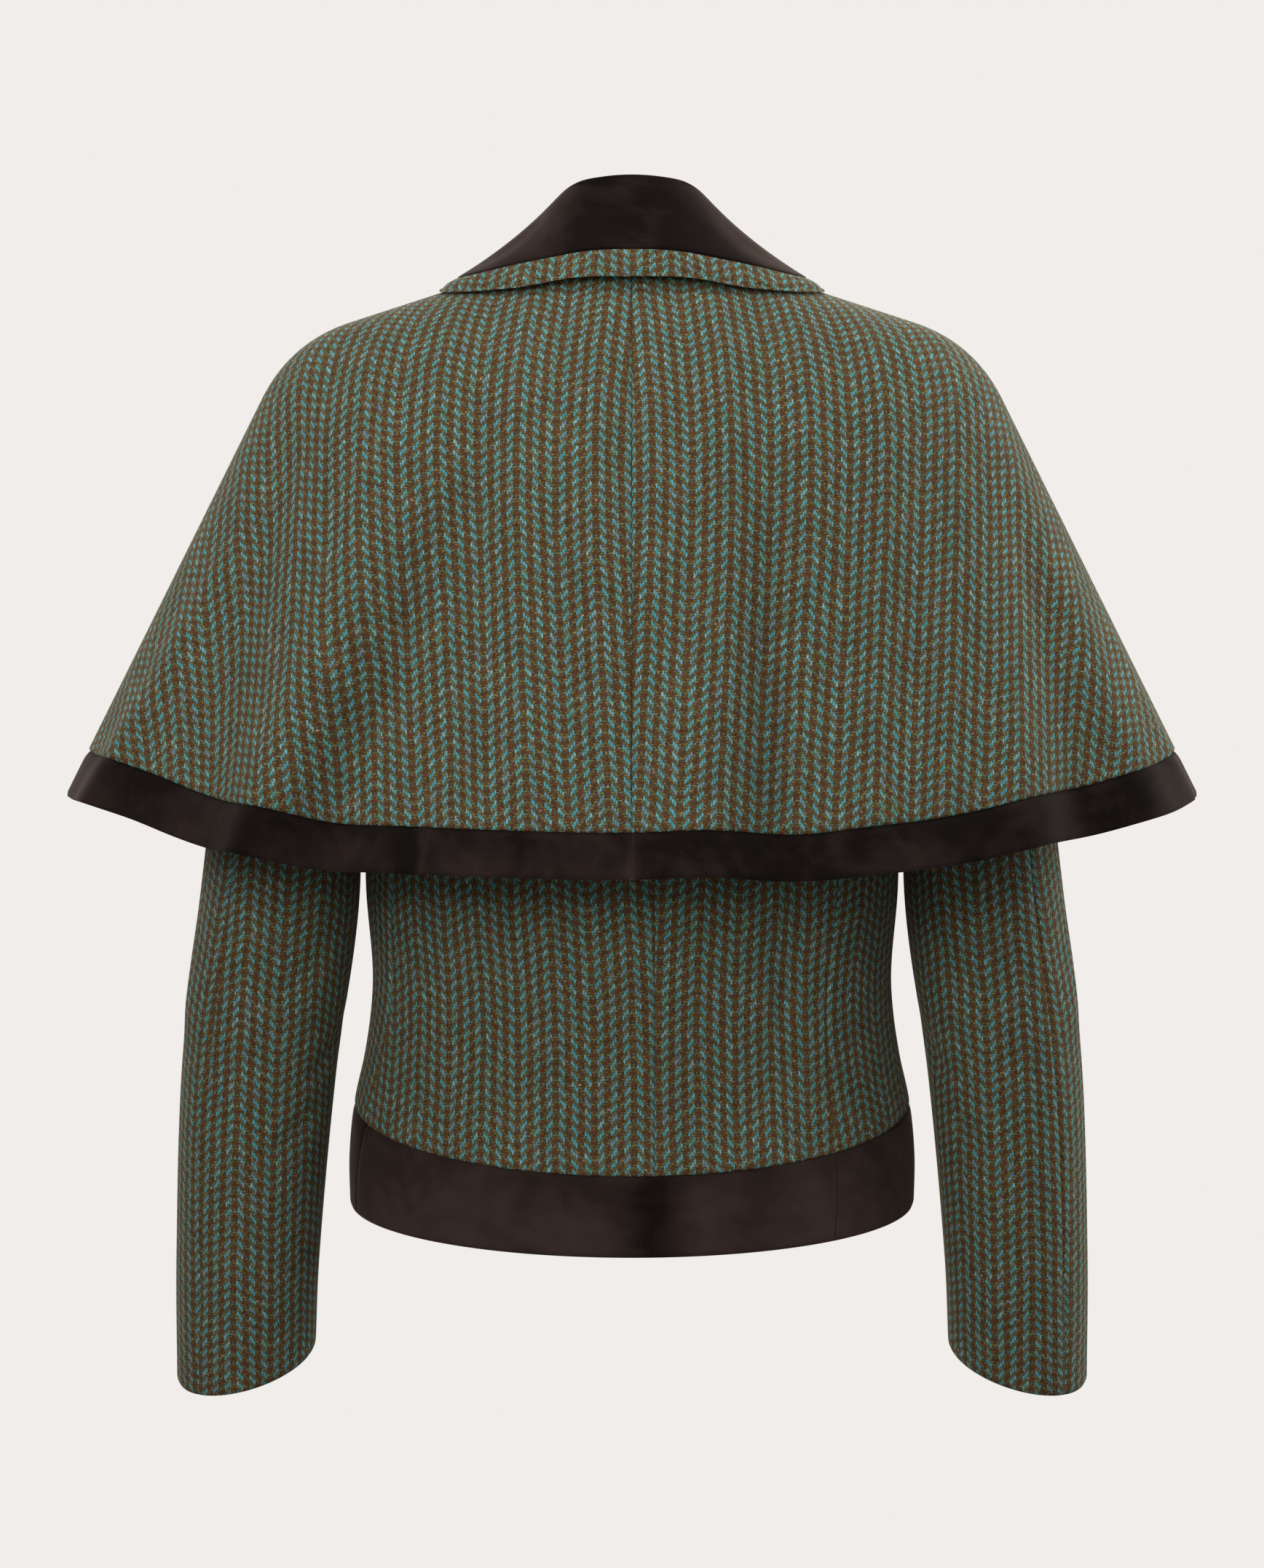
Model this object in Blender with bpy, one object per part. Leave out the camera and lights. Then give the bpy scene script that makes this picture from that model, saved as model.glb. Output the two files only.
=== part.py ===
"""Cape jacket, worn form, with its back to -Y and the nape of the neck at the origin.

Tweed body, two-piece sleeves and a tweed shoulder cape, with velvet bands on both hems and a
velvet turn-down collar bordered with a strip of the tweed. Each cut piece of cloth is one solid.
Metres, +Z up, +X to the wearer's right as seen from behind.
"""

from collections import namedtuple
from math import atan2, cos, degrees, radians, sin, sqrt

import bmesh
import bpy
import numpy as np

# Cloth
TWEED_THICKNESS = 0.0022
TWEED_COLOUR = (0.107, 0.109, 0.076)
TWEED_ROUGHNESS = 0.95
VELVET_THICKNESS = 0.0018
VELVET_COLOUR = (0.020, 0.014, 0.012)
VELVET_ROUGHNESS = 0.90
SEAM_GAP = 0.0003

# Neck opening: the seam where collar, cape and body meet
NECK_HALF_WIDTH = 0.068
NECK_BACK_DEPTH = 0.062
NECK_FRONT_DEPTH = 0.064
NECK_SIDE_RISE = 0.004
NECK_FRONT_DROP = 0.068

# Body
BODY_SQUARENESS = 2.0
CHEST_HEIGHT = -0.195
BAND_SEAM_HEIGHT = -0.488
HEM_HEIGHT = -0.548
BACK_SEAM_SHIFT = 0.013
BACK_ARMHOLE_ANGLE = 52.0
FRONT_ARMHOLE_ANGLE = 122.0
SHOULDER_HALF_WIDTH = 0.183
SHOULDER_HEIGHT = -0.047
NECK_SHARE_OF_TOP = 0.42
FRONT_RISE_SHARE = 0.6
CHEST_SWELL = 0.008
CHEST_UPRIGHT_SHARE = 0.38
NECK_SWELL = 0.020
SHOULDER_SWELL = 0.058
NECK_FALL_SHARE_BACK = 0.20
NECK_FALL_SHARE_FRONT = 0.40

# Cape
CAPE_NECK_EASE = 0.0045
CAPE_NECK_LIFT = 0.0018
CAPE_BEND_HALF_WIDTH = 0.2035
CAPE_BEND_BACK_DEPTH = 0.126
CAPE_BEND_FRONT_DEPTH = 0.128
CAPE_BEND_SIDE_HEIGHT = -0.0370
CAPE_BEND_BACK_HEIGHT = -0.092
CAPE_BEND_FRONT_HEIGHT = -0.120
CAPE_BEND_SQUARENESS = 2.3
CAPE_BEND_SHARE = 0.68
CAPE_BEND_ROUNDING = 0.085
CAPE_BACK_EXTRA_ROUNDING = 0.08
CAPE_HEM_HALF_WIDTH = 0.337
CAPE_HEM_BACK_DEPTH = 0.165
CAPE_HEM_FRONT_DEPTH = 0.155
CAPE_HEM_SIDE_HEIGHT = -0.306
CAPE_HEM_BACK_HEIGHT = -0.353
CAPE_HEM_FRONT_HEIGHT = -0.340
CAPE_HEM_CURVE = 2.8
CAPE_BAND_SHARE = 0.068
CAPE_FRONT_ANGLE = 171.0

# Collar
COLLAR_FOLD_HALF_WIDTH = 0.046
COLLAR_FOLD_BACK_DEPTH = 0.056
COLLAR_FOLD_FRONT_DEPTH = 0.060
COLLAR_STAND_INSET = 0.001
COLLAR_STAND_LIFT = 0.0024
COLLAR_STAND_SHARE = 0.40
COLLAR_FOLD_ROUNDING = 0.07
COLLAR_FALL_HOLLOW = 0.0035
COLLAR_BORDER_SHARE = 0.155
COLLAR_FRONT_ANGLE = 168.0

Level = namedtuple("Level", "height half_width back_depth front_depth back_drop")
BODY_LEVELS = (
    Level(-0.548, 0.1680, 0.1180, 0.1120, 0.020),
    Level(-0.520, 0.1685, 0.1190, 0.1125, 0.028),
    Level(-0.488, 0.1655, 0.1160, 0.1100, 0.034),
    Level(-0.460, 0.1595, 0.1100, 0.1050, 0.028),
    Level(-0.420, 0.1548, 0.1040, 0.1000, 0.018),
    Level(-0.360, 0.1587, 0.1120, 0.1060, 0.010),
    Level(-0.270, 0.1580, 0.1240, 0.1220, 0.004),
    Level(-0.195, 0.1565, 0.1280, 0.1180, 0.000),
)

# Where the side piece starts behind: the angle at the hem and at the chest
SideSeam = namedtuple("SideSeam", "hem_angle chest_angle")
LEFT_SIDE_SEAM = SideSeam(-75.0, -BACK_ARMHOLE_ANGLE)
RIGHT_SIDE_SEAM = SideSeam(44.0, BACK_ARMHOLE_ANGLE)

# Rings of the right sleeve from the cuff up; the tilt lifts the outer side, the pitch lowers the back
Ring = namedtuple("Ring", "x y z tilt pitch half_width half_depth")
SLEEVE_RINGS = (
    Ring(0.2318, 0.016, -0.6460, -12, 18, 0.0424, 0.044),
    Ring(0.2296, 0.006, -0.5770, 0, 12, 0.0428, 0.046),
    Ring(0.2222, -0.004, -0.4700, 5, 5, 0.0458, 0.050),
    Ring(0.2092, -0.004, -0.3620, 6, 0, 0.0470, 0.053),
    Ring(0.2028, -0.002, -0.2550, 8, 0, 0.0400, 0.058),
    Ring(0.1880, -0.002, -0.1500, 66, 0, 0.0640, 0.062),
)
SLEEVE_HEAD_EASE = 0.0013
SLEEVE_HEAD_STANDS_OUT = 0.0026
ARMHOLE_MIDDLE_HEIGHT = -0.120
SLEEVE_BACK_SEAM_AT_ARMHOLE = 118.0
SLEEVE_BACK_SEAM_AT_CUFF = 128.0
SLEEVE_FRONT_SEAM = -80.0
UNDERARM_TURN = 50.0

# Soft folds of the cape at its hem: direction, spread and how far they swell out
Fold = namedtuple("Fold", "angle spread swell")
CAPE_FOLDS = (
    Fold(-21, 6, -0.008), Fold(-38, 9, 0.009), Fold(-62, 9, -0.008),
    Fold(24, 9, 0.006), Fold(47, 9, -0.007), Fold(66, 8, 0.005),
    Fold(-118, 10, 0.010), Fold(-145, 9, -0.008),
    Fold(116, 10, 0.010), Fold(147, 9, -0.008),
)

# The collar round from the back to the front: the height of its fold, then where its lower edge
# lies on the cape (1 is the neck seam) and how far it stands off the cape there
CollarStation = namedtuple("CollarStation", "angle fold_height edge_share edge_lift")
COLLAR_STATIONS = (
    CollarStation(0, 0.0590, 0.952, 0.0090),
    CollarStation(40, 0.0562, 0.928, 0.0055),
    CollarStation(66, 0.0480, 0.915, 0.0038),
    CollarStation(90, 0.0350, 0.911, 0.0032),
    CollarStation(130, 0.0020, 0.860, 0.0050),
    CollarStation(170, -0.0480, 0.800, 0.0055),
)


def clear_scene():
    for old in list(bpy.data.objects):
        bpy.data.objects.remove(old, do_unlink=True)


def read_table(table, key):
    """The row of a table at a key between its rows, on a smooth curve through them."""
    rows = np.array(table, float)
    keys = rows[:, 0]
    key = min(max(key, keys[0]), keys[-1])
    slopes = np.gradient(rows, keys, axis=0)
    i = min(max(int(np.searchsorted(keys, key)) - 1, 0), len(keys) - 2)
    span = keys[i + 1] - keys[i]
    t = (key - keys[i]) / span
    row = (
        (2 * t**3 - 3 * t**2 + 1) * rows[i]
        + (t**3 - 2 * t**2 + t) * span * slopes[i]
        + (3 * t**2 - 2 * t**3) * rows[i + 1]
        + (t**3 - t**2) * span * slopes[i + 1]
    )
    return type(table[0])(*row)


def ring_point(angle, half_width, back_depth, front_depth, height, squareness=2.0):
    """A point on a rounded ring about the upright axis; 0 degrees is the back, 90 the right."""
    s, c = sin(radians(angle)), cos(radians(angle))
    reach = (abs(s) ** squareness + abs(c) ** squareness) ** (-1 / squareness)
    depth = back_depth if c > 0 else front_depth
    return np.array([half_width * s * reach, -depth * c * reach, height])


def between(start, end, share):
    return start + (end - start) * share


def bent_line(start, bend, end, share, bend_share, rounding):
    """A point on two straight legs joined by a rounded bend."""
    def on_legs(t):
        if t < bend_share:
            return between(start, bend, t / bend_share)
        return between(bend, end, (t - bend_share) / (1 - bend_share))

    t = (share - bend_share + rounding) / (2 * rounding)
    if 0 < t < 1:
        first, last = on_legs(bend_share - rounding), on_legs(bend_share + rounding)
        return (1 - t) ** 2 * first + 2 * t * (1 - t) * bend + t**2 * last
    return on_legs(share)


def bezier(p0, p1, p2, p3, t):
    return (1 - t) ** 3 * p0 + 3 * (1 - t) ** 2 * t * p1 + 3 * (1 - t) * t**2 * p2 + t**3 * p3


def neck_point(angle, ease=0.0):
    """The neck seam: level behind, a little higher at the sides and low in front."""
    s, c = sin(radians(angle)), cos(radians(angle))
    height = NECK_SIDE_RISE * s * s - (NECK_FRONT_DROP * c * c if c < 0 else 0.0)
    return ring_point(
        angle, NECK_HALF_WIDTH + ease, NECK_BACK_DEPTH + ease, NECK_FRONT_DEPTH + ease, height
    )


def body_ring(angle, height):
    level = read_table(BODY_LEVELS, height)
    c = cos(radians(angle))
    drop = level.back_drop * c * (1.0 if c > 0 else FRONT_RISE_SHARE)
    return ring_point(
        angle, level.half_width, level.back_depth, level.front_depth, height - drop, BODY_SQUARENESS
    )


def shoulder_tip(side):
    return np.array([side * SHOULDER_HALF_WIDTH, 0.0, SHOULDER_HEIGHT])


def body_top(side, share, front):
    """The neckline from the middle to the side of the neck, then the shoulder seam to its tip."""
    if share < NECK_SHARE_OF_TOP:
        turn = 90.0 * share / NECK_SHARE_OF_TOP
        return neck_point(side * (180.0 - turn if front else turn))
    along = (share - NECK_SHARE_OF_TOP) / (1 - NECK_SHARE_OF_TOP)
    return between(neck_point(side * 90.0), shoulder_tip(side), along)


def body_upper(angle, share):
    """The body above the chest, behind or in front of the armhole."""
    side = 1.0 if angle >= 0 else -1.0
    front = abs(angle) > 90.0
    if front:
        across = (180.0 - abs(angle)) / (180.0 - FRONT_ARMHOLE_ANGLE)
    else:
        across = abs(angle) / BACK_ARMHOLE_ANGLE
    chest = body_ring(angle, CHEST_HEIGHT)
    top = body_top(side, across, front)
    facing = 1.0 if front else -1.0
    rise = top[2] - chest[2]
    chest_swell = facing * CHEST_SWELL * (1 - across)
    low = chest + np.array([0.0, chest_swell, CHEST_UPRIGHT_SHARE * rise])
    top_swell = facing * between(NECK_SWELL, SHOULDER_SWELL, across)
    neck_fall = NECK_FALL_SHARE_FRONT if front else NECK_FALL_SHARE_BACK
    fall = neck_fall * rise * sqrt(max(0.0, 1 - across / NECK_SHARE_OF_TOP))
    high = top + np.array([0.0, top_swell, -fall])
    return bezier(chest, low, high, top, share)


def body_form(angle, height):
    if height <= CHEST_HEIGHT:
        return body_ring(angle, height)
    return body_upper(angle, (height - CHEST_HEIGHT) / -CHEST_HEIGHT)


def armhole(turn):
    """The right armhole: 0 is the underarm, 90 the back, 180 the shoulder tip, 270 the front."""
    turn = (turn + 180.0) % 360.0 - 180.0
    edge = BACK_ARMHOLE_ANGLE if turn > 0 else FRONT_ARMHOLE_ANGLE
    if abs(turn) < UNDERARM_TURN:
        return body_ring(between(90.0, edge, abs(turn) / UNDERARM_TURN), CHEST_HEIGHT)
    share = (abs(turn) - UNDERARM_TURN) / (180.0 - UNDERARM_TURN)
    return body_upper(edge, share)


def sleeve_ring(index, turn):
    if index == len(SLEEVE_RINGS):
        loop = armhole(turn)
        out = np.array([0.0, loop[1], loop[2] - ARMHOLE_MIDDLE_HEIGHT])
        ease = SLEEVE_HEAD_EASE * out / np.linalg.norm(out)
        return loop + ease + np.array([SLEEVE_HEAD_STANDS_OUT, 0.0, 0.0])
    ring = SLEEVE_RINGS[index]
    c, s = cos(radians(turn)), sin(radians(turn))
    lift, pitch = radians(ring.tilt), radians(ring.pitch)
    return np.array([
        ring.x - c * ring.half_width * cos(lift),
        ring.y - s * ring.half_depth * cos(pitch),
        ring.z - c * ring.half_width * sin(lift) - s * ring.half_depth * sin(pitch),
    ])


def right_sleeve(turn, station):
    """The sleeve through its rings: station 0 is the cuff, the last one the armhole."""
    last = len(SLEEVE_RINGS)
    i = min(int(station), last - 1)
    t = station - i
    p1, p2 = sleeve_ring(i, turn), sleeve_ring(i + 1, turn)
    p0 = sleeve_ring(i - 1, turn) if i > 0 else 2 * p1 - p2
    p3 = sleeve_ring(i + 2, turn) if i + 2 <= last else 2 * p2 - p1
    m1, m2 = (p2 - p0) / 2, (p3 - p1) / 2
    return (
        (2 * t**3 - 3 * t**2 + 1) * p1 + (t**3 - 2 * t**2 + t) * m1
        + (3 * t**2 - 2 * t**3) * p2 + (t**3 - t**2) * m2
    )


def left_sleeve(turn, station):
    return right_sleeve(-turn, station) * np.array([-1.0, 1.0, 1.0])


def cape_form(angle, share):
    """The cape from its hem (0) over the shoulder bend to the neck seam (1)."""
    s, c = sin(radians(angle)), cos(radians(angle))
    back = c > 0
    bend_rest = CAPE_BEND_BACK_HEIGHT if back else CAPE_BEND_FRONT_HEIGHT
    bend = ring_point(
        angle, CAPE_BEND_HALF_WIDTH, CAPE_BEND_BACK_DEPTH, CAPE_BEND_FRONT_DEPTH,
        between(CAPE_BEND_SIDE_HEIGHT, bend_rest, c * c), CAPE_BEND_SQUARENESS,
    )
    hem_rest = CAPE_HEM_BACK_HEIGHT if back else CAPE_HEM_FRONT_HEIGHT
    hem_height = between(hem_rest, CAPE_HEM_SIDE_HEIGHT, abs(s) ** CAPE_HEM_CURVE)
    hem = ring_point(
        angle, CAPE_HEM_HALF_WIDTH, CAPE_HEM_BACK_DEPTH, CAPE_HEM_FRONT_DEPTH, hem_height
    )
    outward = np.array([s, -c, 0.0])
    for fold in CAPE_FOLDS:
        away = (angle - fold.angle) / fold.spread
        hem = hem + outward * fold.swell * np.exp(-away * away)
    rounding = CAPE_BEND_ROUNDING + CAPE_BACK_EXTRA_ROUNDING * c * c
    neck = neck_point(angle, CAPE_NECK_EASE) + np.array([0.0, 0.0, CAPE_NECK_LIFT])
    return bent_line(hem, bend, neck, share, CAPE_BEND_SHARE, rounding)


def collar_form(angle, share):
    """The collar from its lower edge (0), up the fall, over the fold and down the stand (1)."""
    station = read_table(COLLAR_STATIONS, abs(angle))
    under = cape_form(angle, station.edge_share)
    outward = np.cross(
        cape_form(angle + 0.01, station.edge_share) - under,
        cape_form(angle, station.edge_share + 1e-4) - under,
    )
    edge = under + station.edge_lift * outward / np.linalg.norm(outward)
    fold = ring_point(
        angle, COLLAR_FOLD_HALF_WIDTH, COLLAR_FOLD_BACK_DEPTH, COLLAR_FOLD_FRONT_DEPTH,
        station.fold_height,
    )
    base = neck_point(angle, -COLLAR_STAND_INSET) + np.array([0.0, 0.0, COLLAR_STAND_LIFT])
    fall_share = 1 - COLLAR_STAND_SHARE
    point = bent_line(edge, fold, base, share, fall_share, COLLAR_FOLD_ROUNDING)
    hollow = COLLAR_FALL_HOLLOW * sin(radians(180.0 * min(share / fall_share, 1.0)))
    return point - hollow * np.array([sin(radians(angle)), -cos(radians(angle)), 0.0])


def middle_back_seam(height):
    """The middle seam of the back, which hangs a little to the right below the neck."""
    level = read_table(BODY_LEVELS, height)
    fade = 1.0 - max(0.0, (height - CHEST_HEIGHT) / -CHEST_HEIGHT)
    return degrees(atan2(BACK_SEAM_SHIFT / level.half_width, 1.0)) * fade


def side_back_seam(seam):
    def at(height):
        share = min(1.0, (height - HEM_HEIGHT) / (CHEST_HEIGHT - HEM_HEIGHT))
        return between(seam.hem_angle, seam.chest_angle, share)
    return at


def sleeve_back_seam(station):
    share = station / len(SLEEVE_RINGS)
    return between(SLEEVE_BACK_SEAM_AT_CUFF, SLEEVE_BACK_SEAM_AT_ARMHOLE, share)


def left_sleeve_back_seam(station):
    return -sleeve_back_seam(station)


def fixed(angle):
    return lambda height: angle


def even(low, high, count):
    return list(np.linspace(low, high, count + 1))


def cloth_panel(name, form, edges, rows, columns, thickness, material, collection):
    """A panel of cloth: a grid bent to the form between two edges, and thickened inwards.

    edges are two functions that give the across value at a row, rows the along values.
    """
    first, last = edges
    low, high = rows[0], rows[-1]

    def point(u, along):
        return form(between(first(along), last(along), u), along)

    def slopes(u, along):
        step, rise = 1e-4, 1e-4 * (high - low)
        u0, u1 = max(u - step, 0.0), min(u + step, 1.0)
        a0, a1 = max(along - rise, low), min(along + rise, high)
        across = (point(u1, along) - point(u0, along)) / (u1 - u0)
        return across, (point(u, a1) - point(u, a0)) / (a1 - a0)

    def shaped(u, along, depth):
        across, upward = slopes(u, along)
        inset = 0.5 * SEAM_GAP / np.linalg.norm(across)
        rise = 0.5 * SEAM_GAP / np.linalg.norm(upward)
        u = min(max(u, inset), 1 - inset)
        along = min(max(along, low + rise), high - rise)
        outward = np.cross(*slopes(u, along))
        return point(u, along) - outward / np.linalg.norm(outward) * thickness * depth

    bm = bmesh.new()
    bmesh.ops.create_grid(bm, x_segments=columns, y_segments=len(rows) - 1, size=0.5)
    made = bmesh.ops.extrude_face_region(bm, geom=bm.faces[:], use_keep_orig=True)
    for item in made["geom"]:
        if isinstance(item, bmesh.types.BMVert):
            item.co.z = 1.0
    for vert in bm.verts:
        row = round((vert.co.y + 0.5) * (len(rows) - 1))
        vert.co = shaped(vert.co.x + 0.5, rows[row], vert.co.z)
    bmesh.ops.recalc_face_normals(bm, faces=bm.faces[:])
    mesh = bpy.data.meshes.new(name)
    bm.to_mesh(mesh)
    bm.free()
    mesh.materials.append(material)
    panel = bpy.data.objects.new(name, mesh)
    collection.objects.link(panel)
    return panel


def cloth_material(name, colour, roughness):
    material = bpy.data.materials.new(name)
    material.use_nodes = True
    shader = material.node_tree.nodes["Principled BSDF"]
    shader.inputs["Base Color"].default_value = (*colour, 1.0)
    shader.inputs["Roughness"].default_value = roughness
    return material


def build():
    clear_scene()
    collection = bpy.data.collections.new("cape_jacket")
    bpy.context.scene.collection.children.link(collection)
    tweed = cloth_material("tweed", TWEED_COLOUR, TWEED_ROUGHNESS)
    velvet = cloth_material("velvet", VELVET_COLOUR, VELVET_ROUGHNESS)

    def tweed_panel(name, form, edges, rows, columns):
        cloth_panel(name, form, edges, rows, columns, TWEED_THICKNESS, tweed, collection)

    def velvet_panel(name, form, edges, rows, columns):
        cloth_panel(name, form, edges, rows, columns, VELVET_THICKNESS, velvet, collection)

    left_seam, right_seam = side_back_seam(LEFT_SIDE_SEAM), side_back_seam(RIGHT_SIDE_SEAM)
    left_front, right_front = fixed(-FRONT_ARMHOLE_ANGLE), fixed(FRONT_ARMHOLE_ANGLE)
    below = even(BAND_SEAM_HEIGHT, CHEST_HEIGHT, 8)
    whole = below + even(CHEST_HEIGHT, 0.0, 6)[1:]
    band = even(HEM_HEIGHT, BAND_SEAM_HEIGHT, 2)
    tweed_panel("body_back_left", body_form, (left_seam, middle_back_seam), whole, 8)
    tweed_panel("body_back_right", body_form, (middle_back_seam, right_seam), whole, 6)
    tweed_panel("body_side_left", body_form, (left_front, left_seam), below, 6)
    tweed_panel("body_side_right", body_form, (right_seam, right_front), below, 7)
    tweed_panel("body_front_left", body_form, (fixed(-180.0), left_front), whole, 6)
    tweed_panel("body_front_right", body_form, (right_front, fixed(180.0)), whole, 6)
    velvet_panel("hem_band_back", body_form, (left_seam, right_seam), band, 14)
    velvet_panel("hem_band_left", body_form, (fixed(-180.0), left_seam), band, 12)
    velvet_panel("hem_band_right", body_form, (right_seam, fixed(180.0)), band, 14)

    length = even(0.0, 4.0, 7) + even(4.0, len(SLEEVE_RINGS), 6)[1:]
    front_seam, seam_round = fixed(SLEEVE_FRONT_SEAM), fixed(360.0 + SLEEVE_FRONT_SEAM)
    left_front_seam, left_round = fixed(-SLEEVE_FRONT_SEAM), fixed(-360.0 - SLEEVE_FRONT_SEAM)
    left_back = left_sleeve_back_seam
    tweed_panel("sleeve_under_right", right_sleeve, (front_seam, sleeve_back_seam), length, 11)
    tweed_panel("sleeve_upper_right", right_sleeve, (sleeve_back_seam, seam_round), length, 11)
    tweed_panel("sleeve_under_left", left_sleeve, (left_back, left_front_seam), length, 11)
    tweed_panel("sleeve_upper_left", left_sleeve, (left_round, left_back), length, 11)

    cape_left, cape_right = fixed(-CAPE_FRONT_ANGLE), fixed(CAPE_FRONT_ANGLE)
    cape, cape_band = even(CAPE_BAND_SHARE, 1.0, 11), even(0.0, CAPE_BAND_SHARE, 1)
    tweed_panel("cape_left", cape_form, (cape_left, fixed(0.0)), cape, 24)
    tweed_panel("cape_right", cape_form, (fixed(0.0), cape_right), cape, 24)
    velvet_panel("cape_band_left", cape_form, (cape_left, fixed(0.0)), cape_band, 24)
    velvet_panel("cape_band_right", cape_form, (fixed(0.0), cape_right), cape_band, 24)

    ends = (fixed(-COLLAR_FRONT_ANGLE), fixed(COLLAR_FRONT_ANGLE))
    fold = 1 - COLLAR_STAND_SHARE
    fall = even(COLLAR_BORDER_SHARE, fold - COLLAR_FOLD_ROUNDING, 3)
    turn = even(fold - COLLAR_FOLD_ROUNDING, fold + COLLAR_FOLD_ROUNDING, 4)
    stand = even(fold + COLLAR_FOLD_ROUNDING, 1.0, 2)
    tweed_panel("collar_border", collar_form, ends, even(0.0, COLLAR_BORDER_SHARE, 1), 26)
    velvet_panel("collar_velvet", collar_form, ends, fall + turn[1:] + stand[1:], 26)


build()
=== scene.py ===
"""Cape jacket in herringbone tweed, with velvet bands on its hems and a velvet collar.

Each cut piece of cloth is laid over the form that its solid has, with its creases, rolled seams
and turned edges, and gets a flat cutting plan that the weave follows. Metres, back towards -Y.
"""

from collections import namedtuple

import bmesh
import bpy
import numpy as np
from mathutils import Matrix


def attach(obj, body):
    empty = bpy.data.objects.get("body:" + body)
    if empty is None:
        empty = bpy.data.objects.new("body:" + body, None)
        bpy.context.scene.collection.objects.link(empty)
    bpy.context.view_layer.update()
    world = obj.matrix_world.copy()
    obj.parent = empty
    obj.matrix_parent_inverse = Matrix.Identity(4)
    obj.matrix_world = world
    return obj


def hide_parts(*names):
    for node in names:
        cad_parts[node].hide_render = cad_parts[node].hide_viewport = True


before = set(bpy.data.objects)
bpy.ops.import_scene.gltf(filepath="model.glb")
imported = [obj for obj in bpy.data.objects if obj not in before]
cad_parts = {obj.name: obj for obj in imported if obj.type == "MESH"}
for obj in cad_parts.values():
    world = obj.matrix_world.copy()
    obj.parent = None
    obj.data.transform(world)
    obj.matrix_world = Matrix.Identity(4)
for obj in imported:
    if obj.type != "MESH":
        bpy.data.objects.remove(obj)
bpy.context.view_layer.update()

bl_info = {
    "name": "Cape Jacket",
    "version": (1, 0, 0),
    "blender": (4, 5, 0),
    "location": "3D View > Sidebar > Jacket",
    "description": "Builds a tweed jacket with a shoulder cape and velvet trimmings",
    "category": "Object",
}

# Neck opening: the seam where collar, cape and body meet
NECK_HALF_WIDTH = 0.068
NECK_BACK_DEPTH = 0.062
NECK_FRONT_DEPTH = 0.064
NECK_SIDE_RISE = 0.004
NECK_FRONT_DROP = 0.068

# Body
NECK_HEIGHT = 0.0
CHEST_HEIGHT = -0.195
BAND_SEAM_HEIGHT = -0.488
HEM_HEIGHT = -0.548
BACK_SEAM_SHIFT = 0.013
BACK_ARMHOLE_ANGLE = 52.0
FRONT_ARMHOLE_ANGLE = 122.0
SHOULDER_HALF_WIDTH = 0.183
SHOULDER_HEIGHT = -0.047
NECK_SHARE_OF_TOP = 0.42
FRONT_RISE_SHARE = 0.6
CHEST_SWELL = 0.008
CHEST_UPRIGHT_SHARE = 0.38
NECK_SWELL = 0.020
SHOULDER_SWELL = 0.058
NECK_FALL_SHARE_BACK = 0.20
NECK_FALL_SHARE_FRONT = 0.40

# Cape
CAPE_NECK_EASE = 0.0045
CAPE_NECK_LIFT = 0.0018
CAPE_BEND_HALF_WIDTH = 0.2035
CAPE_BEND_BACK_DEPTH = 0.126
CAPE_BEND_FRONT_DEPTH = 0.128
CAPE_BEND_SIDE_HEIGHT = -0.0370
CAPE_BEND_BACK_HEIGHT = -0.092
CAPE_BEND_FRONT_HEIGHT = -0.120
CAPE_BEND_SQUARENESS = 2.3
CAPE_BEND_SHARE = 0.68
CAPE_BEND_ROUNDING = 0.085
CAPE_BACK_EXTRA_ROUNDING = 0.08
CAPE_HEM_HALF_WIDTH = 0.337
CAPE_HEM_BACK_DEPTH = 0.165
CAPE_HEM_FRONT_DEPTH = 0.155
CAPE_HEM_SIDE_HEIGHT = -0.306
CAPE_HEM_BACK_HEIGHT = -0.353
CAPE_HEM_FRONT_HEIGHT = -0.340
CAPE_HEM_CURVE = 2.8
CAPE_BAND_SHARE = 0.068
CAPE_FRONT_ANGLE = 171.0

# Collar
COLLAR_FOLD_HALF_WIDTH = 0.046
COLLAR_FOLD_BACK_DEPTH = 0.056
COLLAR_FOLD_FRONT_DEPTH = 0.060
COLLAR_STAND_INSET = 0.001
COLLAR_STAND_LIFT = 0.0024
COLLAR_STAND_SHARE = 0.40
COLLAR_FOLD_ROUNDING = 0.07
COLLAR_FALL_HOLLOW = 0.0035
COLLAR_BORDER_SHARE = 0.155
COLLAR_FRONT_ANGLE = 168.0

Level = namedtuple("Level", "height half_width back_depth front_depth back_drop")
BODY_LEVELS = (
    Level(-0.548, 0.1680, 0.1180, 0.1120, 0.020),
    Level(-0.520, 0.1685, 0.1190, 0.1125, 0.028),
    Level(-0.488, 0.1655, 0.1160, 0.1100, 0.034),
    Level(-0.460, 0.1595, 0.1100, 0.1050, 0.028),
    Level(-0.420, 0.1548, 0.1040, 0.1000, 0.018),
    Level(-0.360, 0.1587, 0.1120, 0.1060, 0.010),
    Level(-0.270, 0.1580, 0.1240, 0.1220, 0.004),
    Level(-0.195, 0.1565, 0.1280, 0.1180, 0.000),
)

SideSeam = namedtuple("SideSeam", "hem_angle chest_angle")
LEFT_SIDE_SEAM = SideSeam(-75.0, -BACK_ARMHOLE_ANGLE)
RIGHT_SIDE_SEAM = SideSeam(44.0, BACK_ARMHOLE_ANGLE)

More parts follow.
